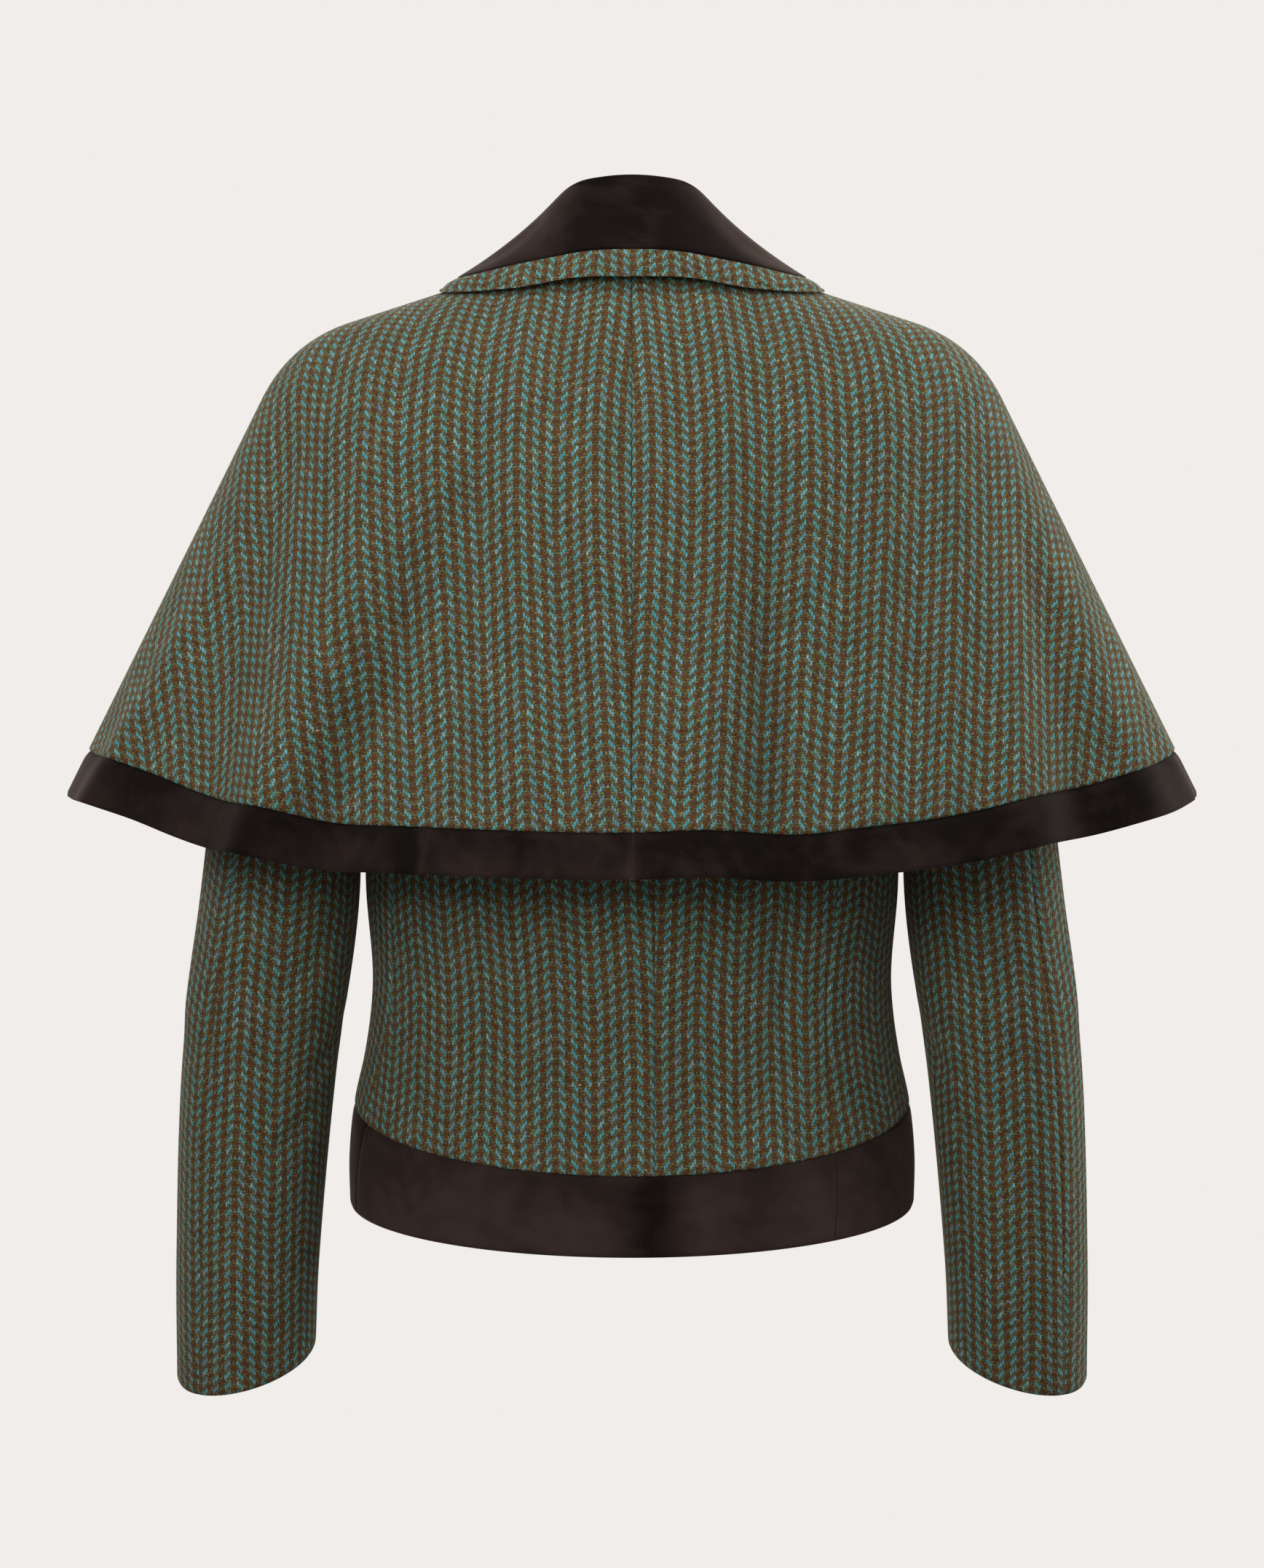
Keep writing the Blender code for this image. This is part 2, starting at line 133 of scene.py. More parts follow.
# Rings of the right sleeve from the cuff up
Ring = namedtuple("Ring", "x y z tilt pitch half_width half_depth")
SLEEVE_RINGS = (
    Ring(0.2318, 0.016, -0.6460, -12, 18, 0.0424, 0.044),
    Ring(0.2296, 0.006, -0.5770, 0, 12, 0.0428, 0.046),
    Ring(0.2222, -0.004, -0.4700, 5, 5, 0.0458, 0.050),
    Ring(0.2092, -0.004, -0.3620, 6, 0, 0.0470, 0.053),
    Ring(0.2028, -0.002, -0.2550, 8, 0, 0.0400, 0.058),
    Ring(0.1880, -0.002, -0.1500, 66, 0, 0.0640, 0.062),
)
SLEEVE_HEAD_EASE = 0.0013
SLEEVE_HEAD_STANDS_OUT = 0.0026
ARMHOLE_MIDDLE_HEIGHT = -0.120
SLEEVE_BACK_SEAM_AT_ARMHOLE = 118.0
SLEEVE_BACK_SEAM_AT_CUFF = 128.0
SLEEVE_FRONT_SEAM = -80.0
UNDERARM_TURN = 50.0

# Large folds of the cape at its hem: direction, spread and how far they swell out
Fold = namedtuple("Fold", "angle spread swell")
CAPE_FOLDS = (
    Fold(-21, 6, -0.008), Fold(-38, 9, 0.009), Fold(-62, 9, -0.008),
    Fold(24, 9, 0.006), Fold(47, 9, -0.007), Fold(66, 8, 0.005),
    Fold(-118, 10, 0.010), Fold(-145, 9, -0.008),
    Fold(116, 10, 0.010), Fold(147, 9, -0.008),
)

# The collar is alike on both sides, so its first station repeats the third
CollarStation = namedtuple("CollarStation", "angle fold_height edge_share edge_lift border_share")
COLLAR_STATIONS = (
    CollarStation(-20, 0.0584, 0.946, 0.0082, 0.148),
    CollarStation(0, 0.0590, 0.952, 0.0090, 0.154),
    CollarStation(20, 0.0584, 0.946, 0.0082, 0.148),
    CollarStation(40, 0.0568, 0.914, 0.0052, 0.142),
    CollarStation(66, 0.0480, 0.888, 0.0030, 0.092),
    CollarStation(90, 0.0350, 0.902, 0.0027, 0.070),
    CollarStation(130, 0.0020, 0.860, 0.0050, 0.095),
    CollarStation(170, -0.0480, 0.800, 0.0055, 0.120),
)

# A crease runs on the form from its low end to its high end. across and along are the form's own
# measures, wide is its half width across at the low end, which narrows upwards, and rise is how
# far it stands out or, below 0, sinks in.
Crease = namedtuple("Crease", "low_across low_along high_across high_along wide rise")
CAPE_CREASES = (
    Crease(-35.0, -0.30, -20.0, 0.82, 7.6, -0.0235),
    Crease(-38.5, -0.30, -36.5, 0.80, 5.4, 0.0100),
    Crease(-46.0, -0.30, -61.0, 0.92, 9.0, -0.0115),
    Crease(-76.0, -0.30, -60.0, 0.58, 5.4, 0.0080),
    Crease(-16.0, -0.30, -9.0, 0.62, 7.0, 0.0040),
    Crease(14.5, -0.30, 22.0, 0.82, 6.2, -0.0205),
    Crease(4.5, -0.30, 11.5, 0.74, 5.6, 0.0105),
    Crease(30.0, -0.30, 31.0, 0.66, 9.0, -0.0050),
    Crease(49.5, -0.30, 63.0, 0.62, 6.0, -0.0125),
    Crease(39.0, -0.30, 52.0, 0.60, 6.0, 0.0075),
    Crease(73.0, -0.30, 76.0, 0.45, 5.0, 0.0045),
    Crease(-104.0, -0.30, -110.0, 0.55, 6.5, -0.0080),
    Crease(-131.0, -0.30, -136.0, 0.60, 7.5, -0.0090),
    Crease(-157.0, -0.30, -155.0, 0.40, 6.0, 0.0055),
    Crease(103.0, -0.30, 108.0, 0.48, 7.0, -0.0080),
    Crease(133.0, -0.30, 137.0, 0.58, 7.0, -0.0085),
    Crease(160.0, -0.30, 154.0, 0.45, 6.0, 0.0050),
)
CAPE_BAND_DENTS = (
    Crease(-21.8, -0.03, -23.7, 0.085, 1.2, -0.0045),
    Crease(-19.6, -0.03, -21.0, 0.085, 1.5, 0.0024),
    Crease(37.0, -0.03, 38.0, 0.085, 1.8, -0.0016),
    Crease(119.0, -0.03, 121.0, 0.085, 1.5, -0.0030),
)
BODY_CREASES = (
    Crease(-34.0, -0.470, -41.0, -0.330, 5.0, -0.0022),
    Crease(33.0, -0.455, 38.0, -0.300, 4.5, -0.0024),
    Crease(-9.0, -0.450, -12.0, -0.360, 6.0, 0.0014),
    Crease(14.0, -0.440, 17.0, -0.350, 5.0, -0.0012),
    Crease(-98.0, -0.470, -92.0, -0.330, 6.0, -0.0020),
    Crease(97.0, -0.460, 94.0, -0.310, 6.0, -0.0022),
    Crease(-150.0, -0.450, -144.0, -0.280, 7.0, -0.0026),
    Crease(148.0, -0.440, 151.0, -0.300, 7.0, -0.0024),
)
SLEEVE_CREASES = (
    Crease(70.0, 1.55, 20.0, 2.05, 14.0, -0.0022),
    Crease(40.0, 1.95, -5.0, 2.45, 14.0, -0.0026),
    Crease(78.0, 2.35, 30.0, 2.95, 15.0, -0.0020),
    Crease(150.0, 2.10, 175.0, 2.90, 18.0, 0.0016),
    Crease(205.0, 1.30, 190.0, 2.20, 18.0, -0.0018),
    Crease(110.0, 0.45, 135.0, 1.30, 16.0, -0.0012),
    Crease(-40.0, 1.90, -10.0, 2.60, 16.0, -0.0028),
    Crease(250.0, 2.00, 230.0, 2.80, 18.0, -0.0022),
)
COLLAR_CREASES = (
    Crease(-62.0, 0.16, -48.0, 0.56, 9.0, -0.0012),
    Crease(58.0, 0.16, 46.0, 0.55, 10.0, -0.0011),
    Crease(-118.0, 0.10, -112.0, 0.58, 9.0, -0.0014),
    Crease(121.0, 0.10, 114.0, 0.58, 9.0, -0.0013),
)

# The share of its width that a crease keeps at its high end, and the shares of its length over
# which its ends fade out
CREASE_NARROWING = 0.55
CREASE_LOW_FADE = 0.30
CREASE_HIGH_FADE = 0.75

# The left sleeve's creases mirror the right one's, with each end turned a little
LEFT_CREASE_LOW_TURN = -6.0
LEFT_CREASE_HIGH_TURN = 5.0

# Strokes of painted sheen, highlight and shade on the velvet, placed as creases are: rise is how
# much lighter the velvet's colour is painted there, and below 0, how much darker
HEM_BAND_PAINTED_LIGHT = (
    # The hem bands painted lighter all over as sheen, with painted shade down the middle of the back
    # and at the left, and painted sheen further out to both sides
    Crease(0.0, -0.60, 0.0, -0.42, 900.0, 0.85),
    Crease(4.0, -0.60, 4.0, -0.40, 6.0, -0.65),
    Crease(-78.0, -0.60, -70.0, -0.40, 9.0, -0.35),
    Crease(-34.0, -0.60, -37.0, -0.42, 12.0, 0.20),
    Crease(41.0, -0.60, 39.0, -0.42, 14.0, 0.15),
)
CAPE_BAND_PAINTED_LIGHT = (
    # Painted sheen over the band, painted shade and sheen in patches where it undulates, a painted
    # highlight on the middle seam's ridge, and a painted shadow in the dent with a painted highlight
    # beside it
    Crease(0.0, -0.13, 0.0, 0.11, 900.0, 0.34),
    Crease(-43.0, -0.06, -41.0, 0.14, 4.0, -0.45),
    Crease(-12.0, -0.08, -10.0, 0.10, 9.0, 0.22),
    Crease(14.0, -0.08, 12.0, 0.12, 6.0, -0.20),
    Crease(45.0, -0.06, 47.0, 0.14, 4.0, -0.40),
    Crease(60.0, -0.06, 61.0, 0.12, 5.0, -0.25),
    Crease(-64.0, -0.08, -66.0, 0.10, 8.0, 0.20),
    Crease(0.0, -0.06, 0.0, 0.12, 0.5, 0.55),
    Crease(-22.0, -0.05, -23.6, 0.11, 0.8, -0.80),
    Crease(-20.5, -0.05, -21.9, 0.11, 0.6, 0.45),
)
COLLAR_PAINTED_SHEEN = (
    # Painted sheen on the collar's sides and over its upper part
    Crease(-58.0, 0.00, -52.0, 0.90, 22.0, 0.62),
    Crease(60.0, 0.00, 54.0, 0.90, 22.0, 0.52),
    Crease(0.0, 0.40, 0.0, 0.90, 60.0, 0.17),
)

# How an edge of a piece is finished: how far from the edge it starts to turn, how deep, and the
# place and depth of a row of stitches along it
Turn = namedtuple("Turn", "reach outer inner stitch_at stitch_depth", defaults=(0.0, 0.0))
SEAM = Turn(0.0016, 0.0014, 0.0)
SOFT_SEAM = Turn(0.0018, 0.0010, 0.0)
LAPPED = Turn(0.0016, 0.0009, 0.0)
UNDER_LAP = Turn(0.0070, 0.0016, 0.0)
FREE = Turn(0.0030, 0.0010, 0.0010)
TUCKED = Turn(0.0012, 0.0002, 0.0)
STITCHED = Turn(0.0060, 0.0011, 0.0008, 0.0029, 0.0009)
STITCH_WIDTH = 0.0009

# The points of a cloth: how they crowd in a turned edge, how much closer they lie on velvet, the
# angle from which an edge shows sharp, and the steps, in degrees and in shares of a measure, that
# a form's directions are read over
EDGE_SHARES = np.array([0.0, 0.12, 0.28, 0.48, 0.72])
VELVET_STEP_SHARE = 0.75
SHARP_EDGE_ANGLE = 55.0
NUDGE_ANGLE = 0.01
NUDGE_SHARE = 1e-4

# Cutting plans: their points across and along, the rounds in which they settle, how firmly cloth
# next to the grain line keeps its size, and how narrow for its length a straight strip is
PLAN_MAP = "cutting_plan"
PLAN_COLUMNS = 28
PLAN_ROWS = 24
FLATTEN_ROUNDS = 40
GRAIN_HOLD = 5.0
STRIP_SHARE = 0.25

# The column of a plan that the grain line follows. The weave is mirrored from the last edge.
FIRST_EDGE = 0
MIDDLE = PLAN_COLUMNS // 2
LAST_EDGE = -1

# How far the weave is moved across and along a piece to meet its neighbour, or to differ from it
WEAVE_SHIFTS = {
    "body_back_left": (-0.004, 0.0),
    "body_back_right": (-0.005, 1.4),
    "body_front_left": (0.004, 0.0),
    "body_front_right": (-0.004, 0.0),
    "cape_left": (-0.0058, 0.0),
    "cape_right": (0.0150, 0.9),
}

# Herringbone: ends to the repeat, ends of one colour side by side, and picks to the twill
REPEAT_ENDS = 36.0
COLOUR_ENDS = 3.0
TWILL_PICKS = 4.0

# Studio, with each lamp's direction and tilt from the jacket in degrees and its share of power
FLOOR_RADIUS = 9.0
FLOOR_HEIGHT = -4.0
LIT_MIDDLE = (0.0, 0.0, -0.3)
LAMP_DISTANCE = 2.6
LAMP_SIZE = 1.2
Lamp = namedtuple("Lamp", "name turn tilt share")
STUDIO_LAMPS = (
    Lamp("top_light", 0.0, 72.0, 0.92),
    Lamp("key_light", -19.0, 22.0, 0.86),
    Lamp("front_light", 0.0, 4.0, 0.28),
    Lamp("left_light", -125.0, 15.0, 0.75),
    Lamp("right_light", 108.0, 15.0, 1.65),
    Lamp("far_light", 180.0, 30.0, 1.4),
)
CAMERA_SENSOR = 36.0
CAMERA_LENS = 84.57
CAMERA_PLACE = (0.0, -2.2, -0.300)


def between(start, end, share):
    return start + (end - start) * share


def smooth(share):
    t = np.clip(share, 0.0, 1.0)
    return t * t * (3 - 2 * t)


def stack(x, y, z):
    return np.stack(np.broadcast_arrays(x, y, z), axis=-1)


def sine_cosine(angle):
    return np.sin(np.radians(angle)), np.cos(np.radians(angle))


def read_table(table, key):
    """The fields of a table at keys between its rows, on smooth curves through them."""
    rows = np.array(table, float)
    keys = rows[:, 0]
    key = np.clip(key, keys[0], keys[-1])
    slopes = np.gradient(rows, keys, axis=0)
    i = np.clip(np.searchsorted(keys, key) - 1, 0, len(keys) - 2)
    span = (keys[i + 1] - keys[i])[..., None]
    t = (key - keys[i])[..., None] / span
    fields = (
        (2 * t**3 - 3 * t**2 + 1) * rows[i]
        + (t**3 - 2 * t**2 + t) * span * slopes[i]
        + (3 * t**2 - 2 * t**3) * rows[i + 1]
        + (t**3 - t**2) * span * slopes[i + 1]
    )
    return type(table[0])(*np.moveaxis(fields, -1, 0))


def ring_point(angle, half_width, back_depth, front_depth, height, squareness=2.0):
    """Points on a rounded ring about the upright axis; 0 degrees is the back, 90 the right."""
    s, c = sine_cosine(angle)
    reach = (np.abs(s) ** squareness + np.abs(c) ** squareness) ** (-1 / squareness)
    depth = np.where(c > 0, back_depth, front_depth)
    return stack(half_width * s * reach, -depth * c * reach, height)


def bent_line(start, bend, end, share, bend_share, rounding):
    """Points on two straight legs joined by a rounded bend."""
    def on_legs(t):
        lower = between(start, bend, t / bend_share)
        upper = between(bend, end, (t - bend_share) / (1 - bend_share))
        return np.where(t < bend_share, lower, upper)

    share = np.asarray(share)[..., None]
    rounding = np.asarray(rounding)[..., None]
    t = (share - bend_share + rounding) / (2 * rounding)
    first = on_legs(bend_share - rounding)
    last = on_legs(bend_share + rounding)
    rounded = (1 - t) ** 2 * first + 2 * t * (1 - t) * bend + t**2 * last
    return np.where((t > 0) & (t < 1), rounded, on_legs(share))


def creased(table, across, along):
    """How far the creases of a table move the cloth out at each place."""
    moved = np.zeros(np.broadcast(across, along).shape)
    for crease in table:
        t = (along - crease.low_along) / (crease.high_along - crease.low_along)
        middle = between(crease.low_across, crease.high_across, t)
        away = (across - middle) / (crease.wide * between(1.0, CREASE_NARROWING, t))
        ends = smooth(t / CREASE_LOW_FADE) * smooth((1 - t) / CREASE_HIGH_FADE)
        moved += crease.rise * np.exp(-away * away) * ends
    return moved


def neck_point(angle, ease):
    """The neck seam: level behind, a little higher at the sides and low in front."""
    s, c = sine_cosine(angle)
    height = NECK_SIDE_RISE * s * s - np.where(c < 0, NECK_FRONT_DROP * c * c, 0.0)
    return ring_point(
        angle, NECK_HALF_WIDTH + ease, NECK_BACK_DEPTH + ease, NECK_FRONT_DEPTH + ease, height
    )


def body_ring(angle, height):
    level = read_table(BODY_LEVELS, height)
    c = sine_cosine(angle)[1]
    drop = level.back_drop * c * np.where(c > 0, 1.0, FRONT_RISE_SHARE)
    return ring_point(angle, level.half_width, level.back_depth, level.front_depth, height - drop)


def body_top(side, share, front):
    """The neckline from the middle to the side of the neck, then the shoulder seam to its tip."""
    turn = 90.0 * np.minimum(share / NECK_SHARE_OF_TOP, 1.0)
    neckline = neck_point(side * np.where(front, 180.0 - turn, turn), 0.0)
    along = ((share - NECK_SHARE_OF_TOP) / (1 - NECK_SHARE_OF_TOP))[..., None]
    tip = stack(side * SHOULDER_HALF_WIDTH, 0.0, SHOULDER_HEIGHT)
    shoulder = between(neck_point(side * 90.0, 0.0), tip, along)
    return np.where(along < 0, neckline, shoulder)


def body_upper(angle, share):
    """The body above the chest, behind or in front of the armhole."""
    side = np.where(angle >= 0, 1.0, -1.0)
    front = np.abs(angle) > 90.0
    from_front = (180.0 - np.abs(angle)) / (180.0 - FRONT_ARMHOLE_ANGLE)
    across = np.where(front, from_front, np.abs(angle) / BACK_ARMHOLE_ANGLE)
    chest = body_ring(angle, np.full_like(across, CHEST_HEIGHT))
    top = body_top(side, across, front)
    facing = np.where(front, 1.0, -1.0)
    rise = top[..., 2] - chest[..., 2]
    chest_swell = facing * CHEST_SWELL * (1 - across)
    low = chest + stack(0.0, chest_swell, CHEST_UPRIGHT_SHARE * rise)
    top_swell = facing * between(NECK_SWELL, SHOULDER_SWELL, across)
    neck_fall = np.where(front, NECK_FALL_SHARE_FRONT, NECK_FALL_SHARE_BACK)
    fall = neck_fall * rise * np.sqrt(np.maximum(0.0, 1 - across / NECK_SHARE_OF_TOP))
    high = top + stack(0.0, top_swell, -fall)
    t = np.asarray(share)[..., None]
    return (
        (1 - t) ** 3 * chest + 3 * (1 - t) ** 2 * t * low
        + 3 * (1 - t) * t**2 * high + t**3 * top
    )


def body_form(angle, height):
    upper = body_upper(angle, (height - CHEST_HEIGHT) / -CHEST_HEIGHT)
    return np.where((height <= CHEST_HEIGHT)[..., None], body_ring(angle, height), upper)


def armhole(turn):
    """The right armhole: 0 is the underarm, 90 the back, 180 the shoulder tip, 270 the front."""
    turn = (turn + 180.0) % 360.0 - 180.0
    edge = np.where(turn > 0, BACK_ARMHOLE_ANGLE, FRONT_ARMHOLE_ANGLE)
    under = np.minimum(np.abs(turn) / UNDERARM_TURN, 1.0)
    chest = body_ring(between(90.0, edge, under), np.full_like(edge, CHEST_HEIGHT))
    upper = body_upper(edge, (np.abs(turn) - UNDERARM_TURN) / (180.0 - UNDERARM_TURN))
    return np.where((np.abs(turn) < UNDERARM_TURN)[..., None], chest, upper)


def sleeve_head(turn):
    loop = armhole(turn)
    out = loop * np.array([0.0, 1.0, 1.0]) - np.array([0.0, 0.0, ARMHOLE_MIDDLE_HEIGHT])
    ease = SLEEVE_HEAD_EASE * out / np.linalg.norm(out, axis=-1, keepdims=True)
    return loop + ease + np.array([SLEEVE_HEAD_STANDS_OUT, 0.0, 0.0])


def sleeve_ring(ring, turn):
    s, c = sine_cosine(turn)
    lift, pitch = np.radians(ring.tilt), np.radians(ring.pitch)
    return stack(
        ring.x - c * ring.half_width * np.cos(lift),
        ring.y - s * ring.half_depth * np.cos(pitch),
        ring.z - c * ring.half_width * np.sin(lift) - s * ring.half_depth * np.sin(pitch),
    )


def right_sleeve(turn, station):
    """The sleeve through its rings: station 0 is the cuff, the last one the armhole."""
    rings = [sleeve_ring(ring, turn) for ring in SLEEVE_RINGS] + [sleeve_head(turn)]
    last = len(rings) - 1
    rings = [2 * rings[0] - rings[1]] + rings + [2 * rings[-1] - rings[-2]]
    rings = np.stack(rings)
    i = np.clip(np.floor(station).astype(int), 0, last - 1)
    t = (station - i)[..., None]

    def ring_at(step):
        return np.take_along_axis(rings, (i + step)[None, ..., None], axis=0)[0]

    before, start, end, after = ring_at(0), ring_at(1), ring_at(2), ring_at(3)
    return (
        (2 * t**3 - 3 * t**2 + 1) * start + (t**3 - 2 * t**2 + t) * (end - before) / 2
        + (3 * t**2 - 2 * t**3) * end + (t**3 - t**2) * (after - start) / 2
    )


def left_sleeve(turn, station):
    return right_sleeve(-turn, station) * np.array([-1.0, 1.0, 1.0])


def cape_form(angle, share):
    """The cape from its hem (0) over the shoulder bend to the neck seam (1)."""
    s, c = sine_cosine(angle)
    back = c > 0
    bend_rest = np.where(back, CAPE_BEND_BACK_HEIGHT, CAPE_BEND_FRONT_HEIGHT)
    bend = ring_point(
        angle, CAPE_BEND_HALF_WIDTH, CAPE_BEND_BACK_DEPTH, CAPE_BEND_FRONT_DEPTH,
        between(CAPE_BEND_SIDE_HEIGHT, bend_rest, c * c), CAPE_BEND_SQUARENESS,
    )
    hem_rest = np.where(back, CAPE_HEM_BACK_HEIGHT, CAPE_HEM_FRONT_HEIGHT)
    hem_height = between(hem_rest, CAPE_HEM_SIDE_HEIGHT, np.abs(s) ** CAPE_HEM_CURVE)
    hem = ring_point(
        angle, CAPE_HEM_HALF_WIDTH, CAPE_HEM_BACK_DEPTH, CAPE_HEM_FRONT_DEPTH, hem_height
    )
    swell = sum(
        fold.swell * np.exp(-(((angle - fold.angle) / fold.spread) ** 2)) for fold in CAPE_FOLDS
    )
    hem = hem + stack(s * swell, -c * swell, 0.0)
    rounding = CAPE_BEND_ROUNDING + CAPE_BACK_EXTRA_ROUNDING * c * c
    neck = neck_point(angle, CAPE_NECK_EASE) + np.array([0.0, 0.0, CAPE_NECK_LIFT])
    return bent_line(hem, bend, neck, share, CAPE_BEND_SHARE, rounding)


def collar_form(angle, share):
    """The collar from its lower edge (0), up the fall, over the fold and down the stand (1)."""
    station = read_table(COLLAR_STATIONS, np.abs(angle))
    strip = share / COLLAR_BORDER_SHARE * station.border_share
    rest = (share - COLLAR_BORDER_SHARE) / (1 - COLLAR_BORDER_SHARE)
    share = np.where(rest < 0, strip, between(station.border_share, 1.0, rest))
    under = cape_form(angle, station.edge_share)
    outward = np.cross(
        cape_form(angle + NUDGE_ANGLE, station.edge_share) - under,
        cape_form(angle, station.edge_share + NUDGE_SHARE) - under,
    )
    outward = outward / np.linalg.norm(outward, axis=-1, keepdims=True)
    edge = under + station.edge_lift[..., None] * outward
    fold = ring_point(
        angle, COLLAR_FOLD_HALF_WIDTH, COLLAR_FOLD_BACK_DEPTH, COLLAR_FOLD_FRONT_DEPTH,
        station.fold_height,
    )
    base = neck_point(angle, -COLLAR_STAND_INSET) + np.array([0.0, 0.0, COLLAR_STAND_LIFT])
    fall_share = 1 - COLLAR_STAND_SHARE
    point = bent_line(edge, fold, base, share, fall_share, COLLAR_FOLD_ROUNDING)
    hollow = COLLAR_FALL_HOLLOW * np.sin(np.pi * np.minimum(share / fall_share, 1.0))
    s, c = sine_cosine(angle)
    return point - stack(hollow * s, -hollow * c, 0.0)


def middle_back_seam(height):
    """The middle seam of the back, which hangs a little to the right below the neck."""
    level = read_table(BODY_LEVELS, height)
    fade = 1.0 - np.maximum(0.0, (height - CHEST_HEIGHT) / -CHEST_HEIGHT)
    return np.degrees(np.arctan2(BACK_SEAM_SHIFT, level.half_width)) * fade


def side_back_seam(seam):
    def at(height):
        share = np.minimum(1.0, (height - HEM_HEIGHT) / (CHEST_HEIGHT - HEM_HEIGHT))
        return between(seam.hem_angle, seam.chest_angle, share)
    return at


def sleeve_back_seam(station):
    share = station / len(SLEEVE_RINGS)
    return between(SLEEVE_BACK_SEAM_AT_CUFF, SLEEVE_BACK_SEAM_AT_ARMHOLE, share)


def left_sleeve_back_seam(station):
    return -sleeve_back_seam(station)


def fixed(angle):
    return lambda along: np.full_like(along, angle)


def from_edge(points, axis):
    """The way along the cloth from its first and from its last edge."""
    steps = np.linalg.norm(np.diff(points, axis=axis), axis=2)
    pad = ((1, 0), (0, 0)) if axis == 0 else ((0, 0), (1, 0))
    way = np.pad(np.cumsum(steps, axis=axis), pad)
    return way, np.take(way, [-1], axis=axis) - way


def laid_triangles(points):
    """The triangles of a grid of points: their corners' numbers, and each one laid flat."""
    rows, columns = points.shape[:2]
    index = np.arange(rows * columns).reshape(rows, columns)
    a, b = index[:-1, :-1].ravel(), index[:-1, 1:].ravel()
    c, d = index[1:, :-1].ravel(), index[1:, 1:].ravel()
    triangles = np.concatenate([np.stack([a, b, d], 1), np.stack([a, d, c], 1)])
    corners = points.reshape(-1, 3)[triangles]
    base, side = corners[:, 1] - corners[:, 0], corners[:, 2] - corners[:, 0]
    length = np.linalg.norm(base, axis=1)
    painted_light_strokes = np.zeros((len(triangles), 3, 2))
    painted_light_strokes[:, 1, 0] = length
    painted_light_strokes[:, 2, 0] = (base * side).sum(1) / length
    painted_light_strokes[:, 2, 1] = np.linalg.norm(np.cross(base, side), axis=1) / length
    return triangles, painted_light_strokes


def held_edges(triangles, painted_light_strokes, hold):
    """The edges of the triangles: both ends' numbers, how firmly they hold, and how they lie."""
    edges = []
    for first, second, third in ((0, 1, 2), (1, 2, 0), (2, 0, 1)):
        p, q = painted_light_strokes[:, first] - painted_light_strokes[:, third], painted_light_strokes[:, second] - painted_light_strokes[:, third]
        weight = hold * (p * q).sum(1) / np.abs(p[:, 0] * q[:, 1] - p[:, 1] * q[:, 0])
        lie = painted_light_strokes[:, first] - painted_light_strokes[:, second]
        edges.append((triangles[:, first], triangles[:, second], weight[:, None], lie))
    return edges


def flatten(points, grain_column):
    """A grid of points laid flat, grain upright, with the least stretch next to the grain line."""
    rows, columns = points.shape[:2]
    triangles, painted_light_strokes = laid_triangles(points)
    off_grain = np.abs(triangles % columns - grain_column % columns).mean(axis=1) / columns
    edges = held_edges(triangles, painted_light_strokes, np.exp(-GRAIN_HOLD * off_grain))
    system = np.zeros((rows * columns, rows * columns))
    for i, j, weight, _ in edges:
        np.add.at(system, (i, i), weight[:, 0])
        np.add.at(system, (j, j), weight[:, 0])
        np.add.at(system, (i, j), -weight[:, 0])
        np.add.at(system, (j, i), -weight[:, 0])
    system[0] = 0.0
    system[0, 0] = 1.0
    solve = np.linalg.inv(system)

    across, along = from_edge(points, 1)[0], from_edge(points, 0)[0][:, [grain_column]]
    across = across - across[:, [grain_column]]
    flat = np.stack(np.broadcast_arrays(across, along), -1).reshape(-1, 2)
    for _ in range(FLATTEN_ROUNDS):
        dot, cross = np.zeros(len(triangles)), np.zeros(len(triangles))
        for i, j, weight, lie in edges:
            now = weight * (flat[i] - flat[j])
            dot += (now * lie).sum(1)
            cross += now[:, 1] * lie[:, 0] - now[:, 0] * lie[:, 1]
        size = np.hypot(dot, cross)
        cosine, sine = (dot / size)[:, None], (cross / size)[:, None]
        pull = np.zeros_like(flat)
        for i, j, weight, lie in edges:
            swung = cosine * lie + sine * np.stack([-lie[:, 1], lie[:, 0]], 1)
            np.add.at(pull, i, weight * swung)
            np.add.at(pull, j, -weight * swung)
        pull[0] = flat[0]
        flat = solve @ pull
    flat = flat.reshape(rows, columns, 2)
    line = flat[:, grain_column]
    up = (line[-1] - line[0]) / np.linalg.norm(line[-1] - line[0])
    moved = flat - line.mean(axis=0)
    return np.stack([moved @ np.array([up[1], -up[0]]), moved @ up], -1)


def spread(length, step, first, last):
    """Shares from 0 to 1 along a length, set close together where its ends turn."""
    count = max(3, int(round((length - first - last) / step)) + 1)
    middle = np.linspace(first, length - last, count)
    start, end = first * EDGE_SHARES, length - last * EDGE_SHARES[::-1]
    return np.concatenate([start, middle, end]) / length


def turned(distance, turn):
    """How deep an edge's turn is at each distance from it: on the outside and on the inside."""
    share = np.clip(1 - distance / turn.reach, 0.0, 1.0) ** 2
    groove = turn.stitch_depth * np.exp(-(((distance - turn.stitch_at) / STITCH_WIDTH) ** 2))
    return turn.outer * share + groove, turn.inner * share


def plan_at(plan, across, along):
    """The flat plan read between its points, at shares across and along."""
    rows, columns = plan.shape[:2]
    x, y = across * (columns - 1), along * (rows - 1)
    i = np.minimum(x.astype(int), columns - 2)
    j = np.minimum(y.astype(int), rows - 2)
    s, t = (x - i)[None, :, None], (y - j)[:, None, None]
    low = plan[j][:, i] * (1 - s) + plan[j][:, i + 1] * s
    high = plan[j + 1][:, i] * (1 - s) + plan[j + 1][:, i + 1] * s
    return low * (1 - t) + high * t


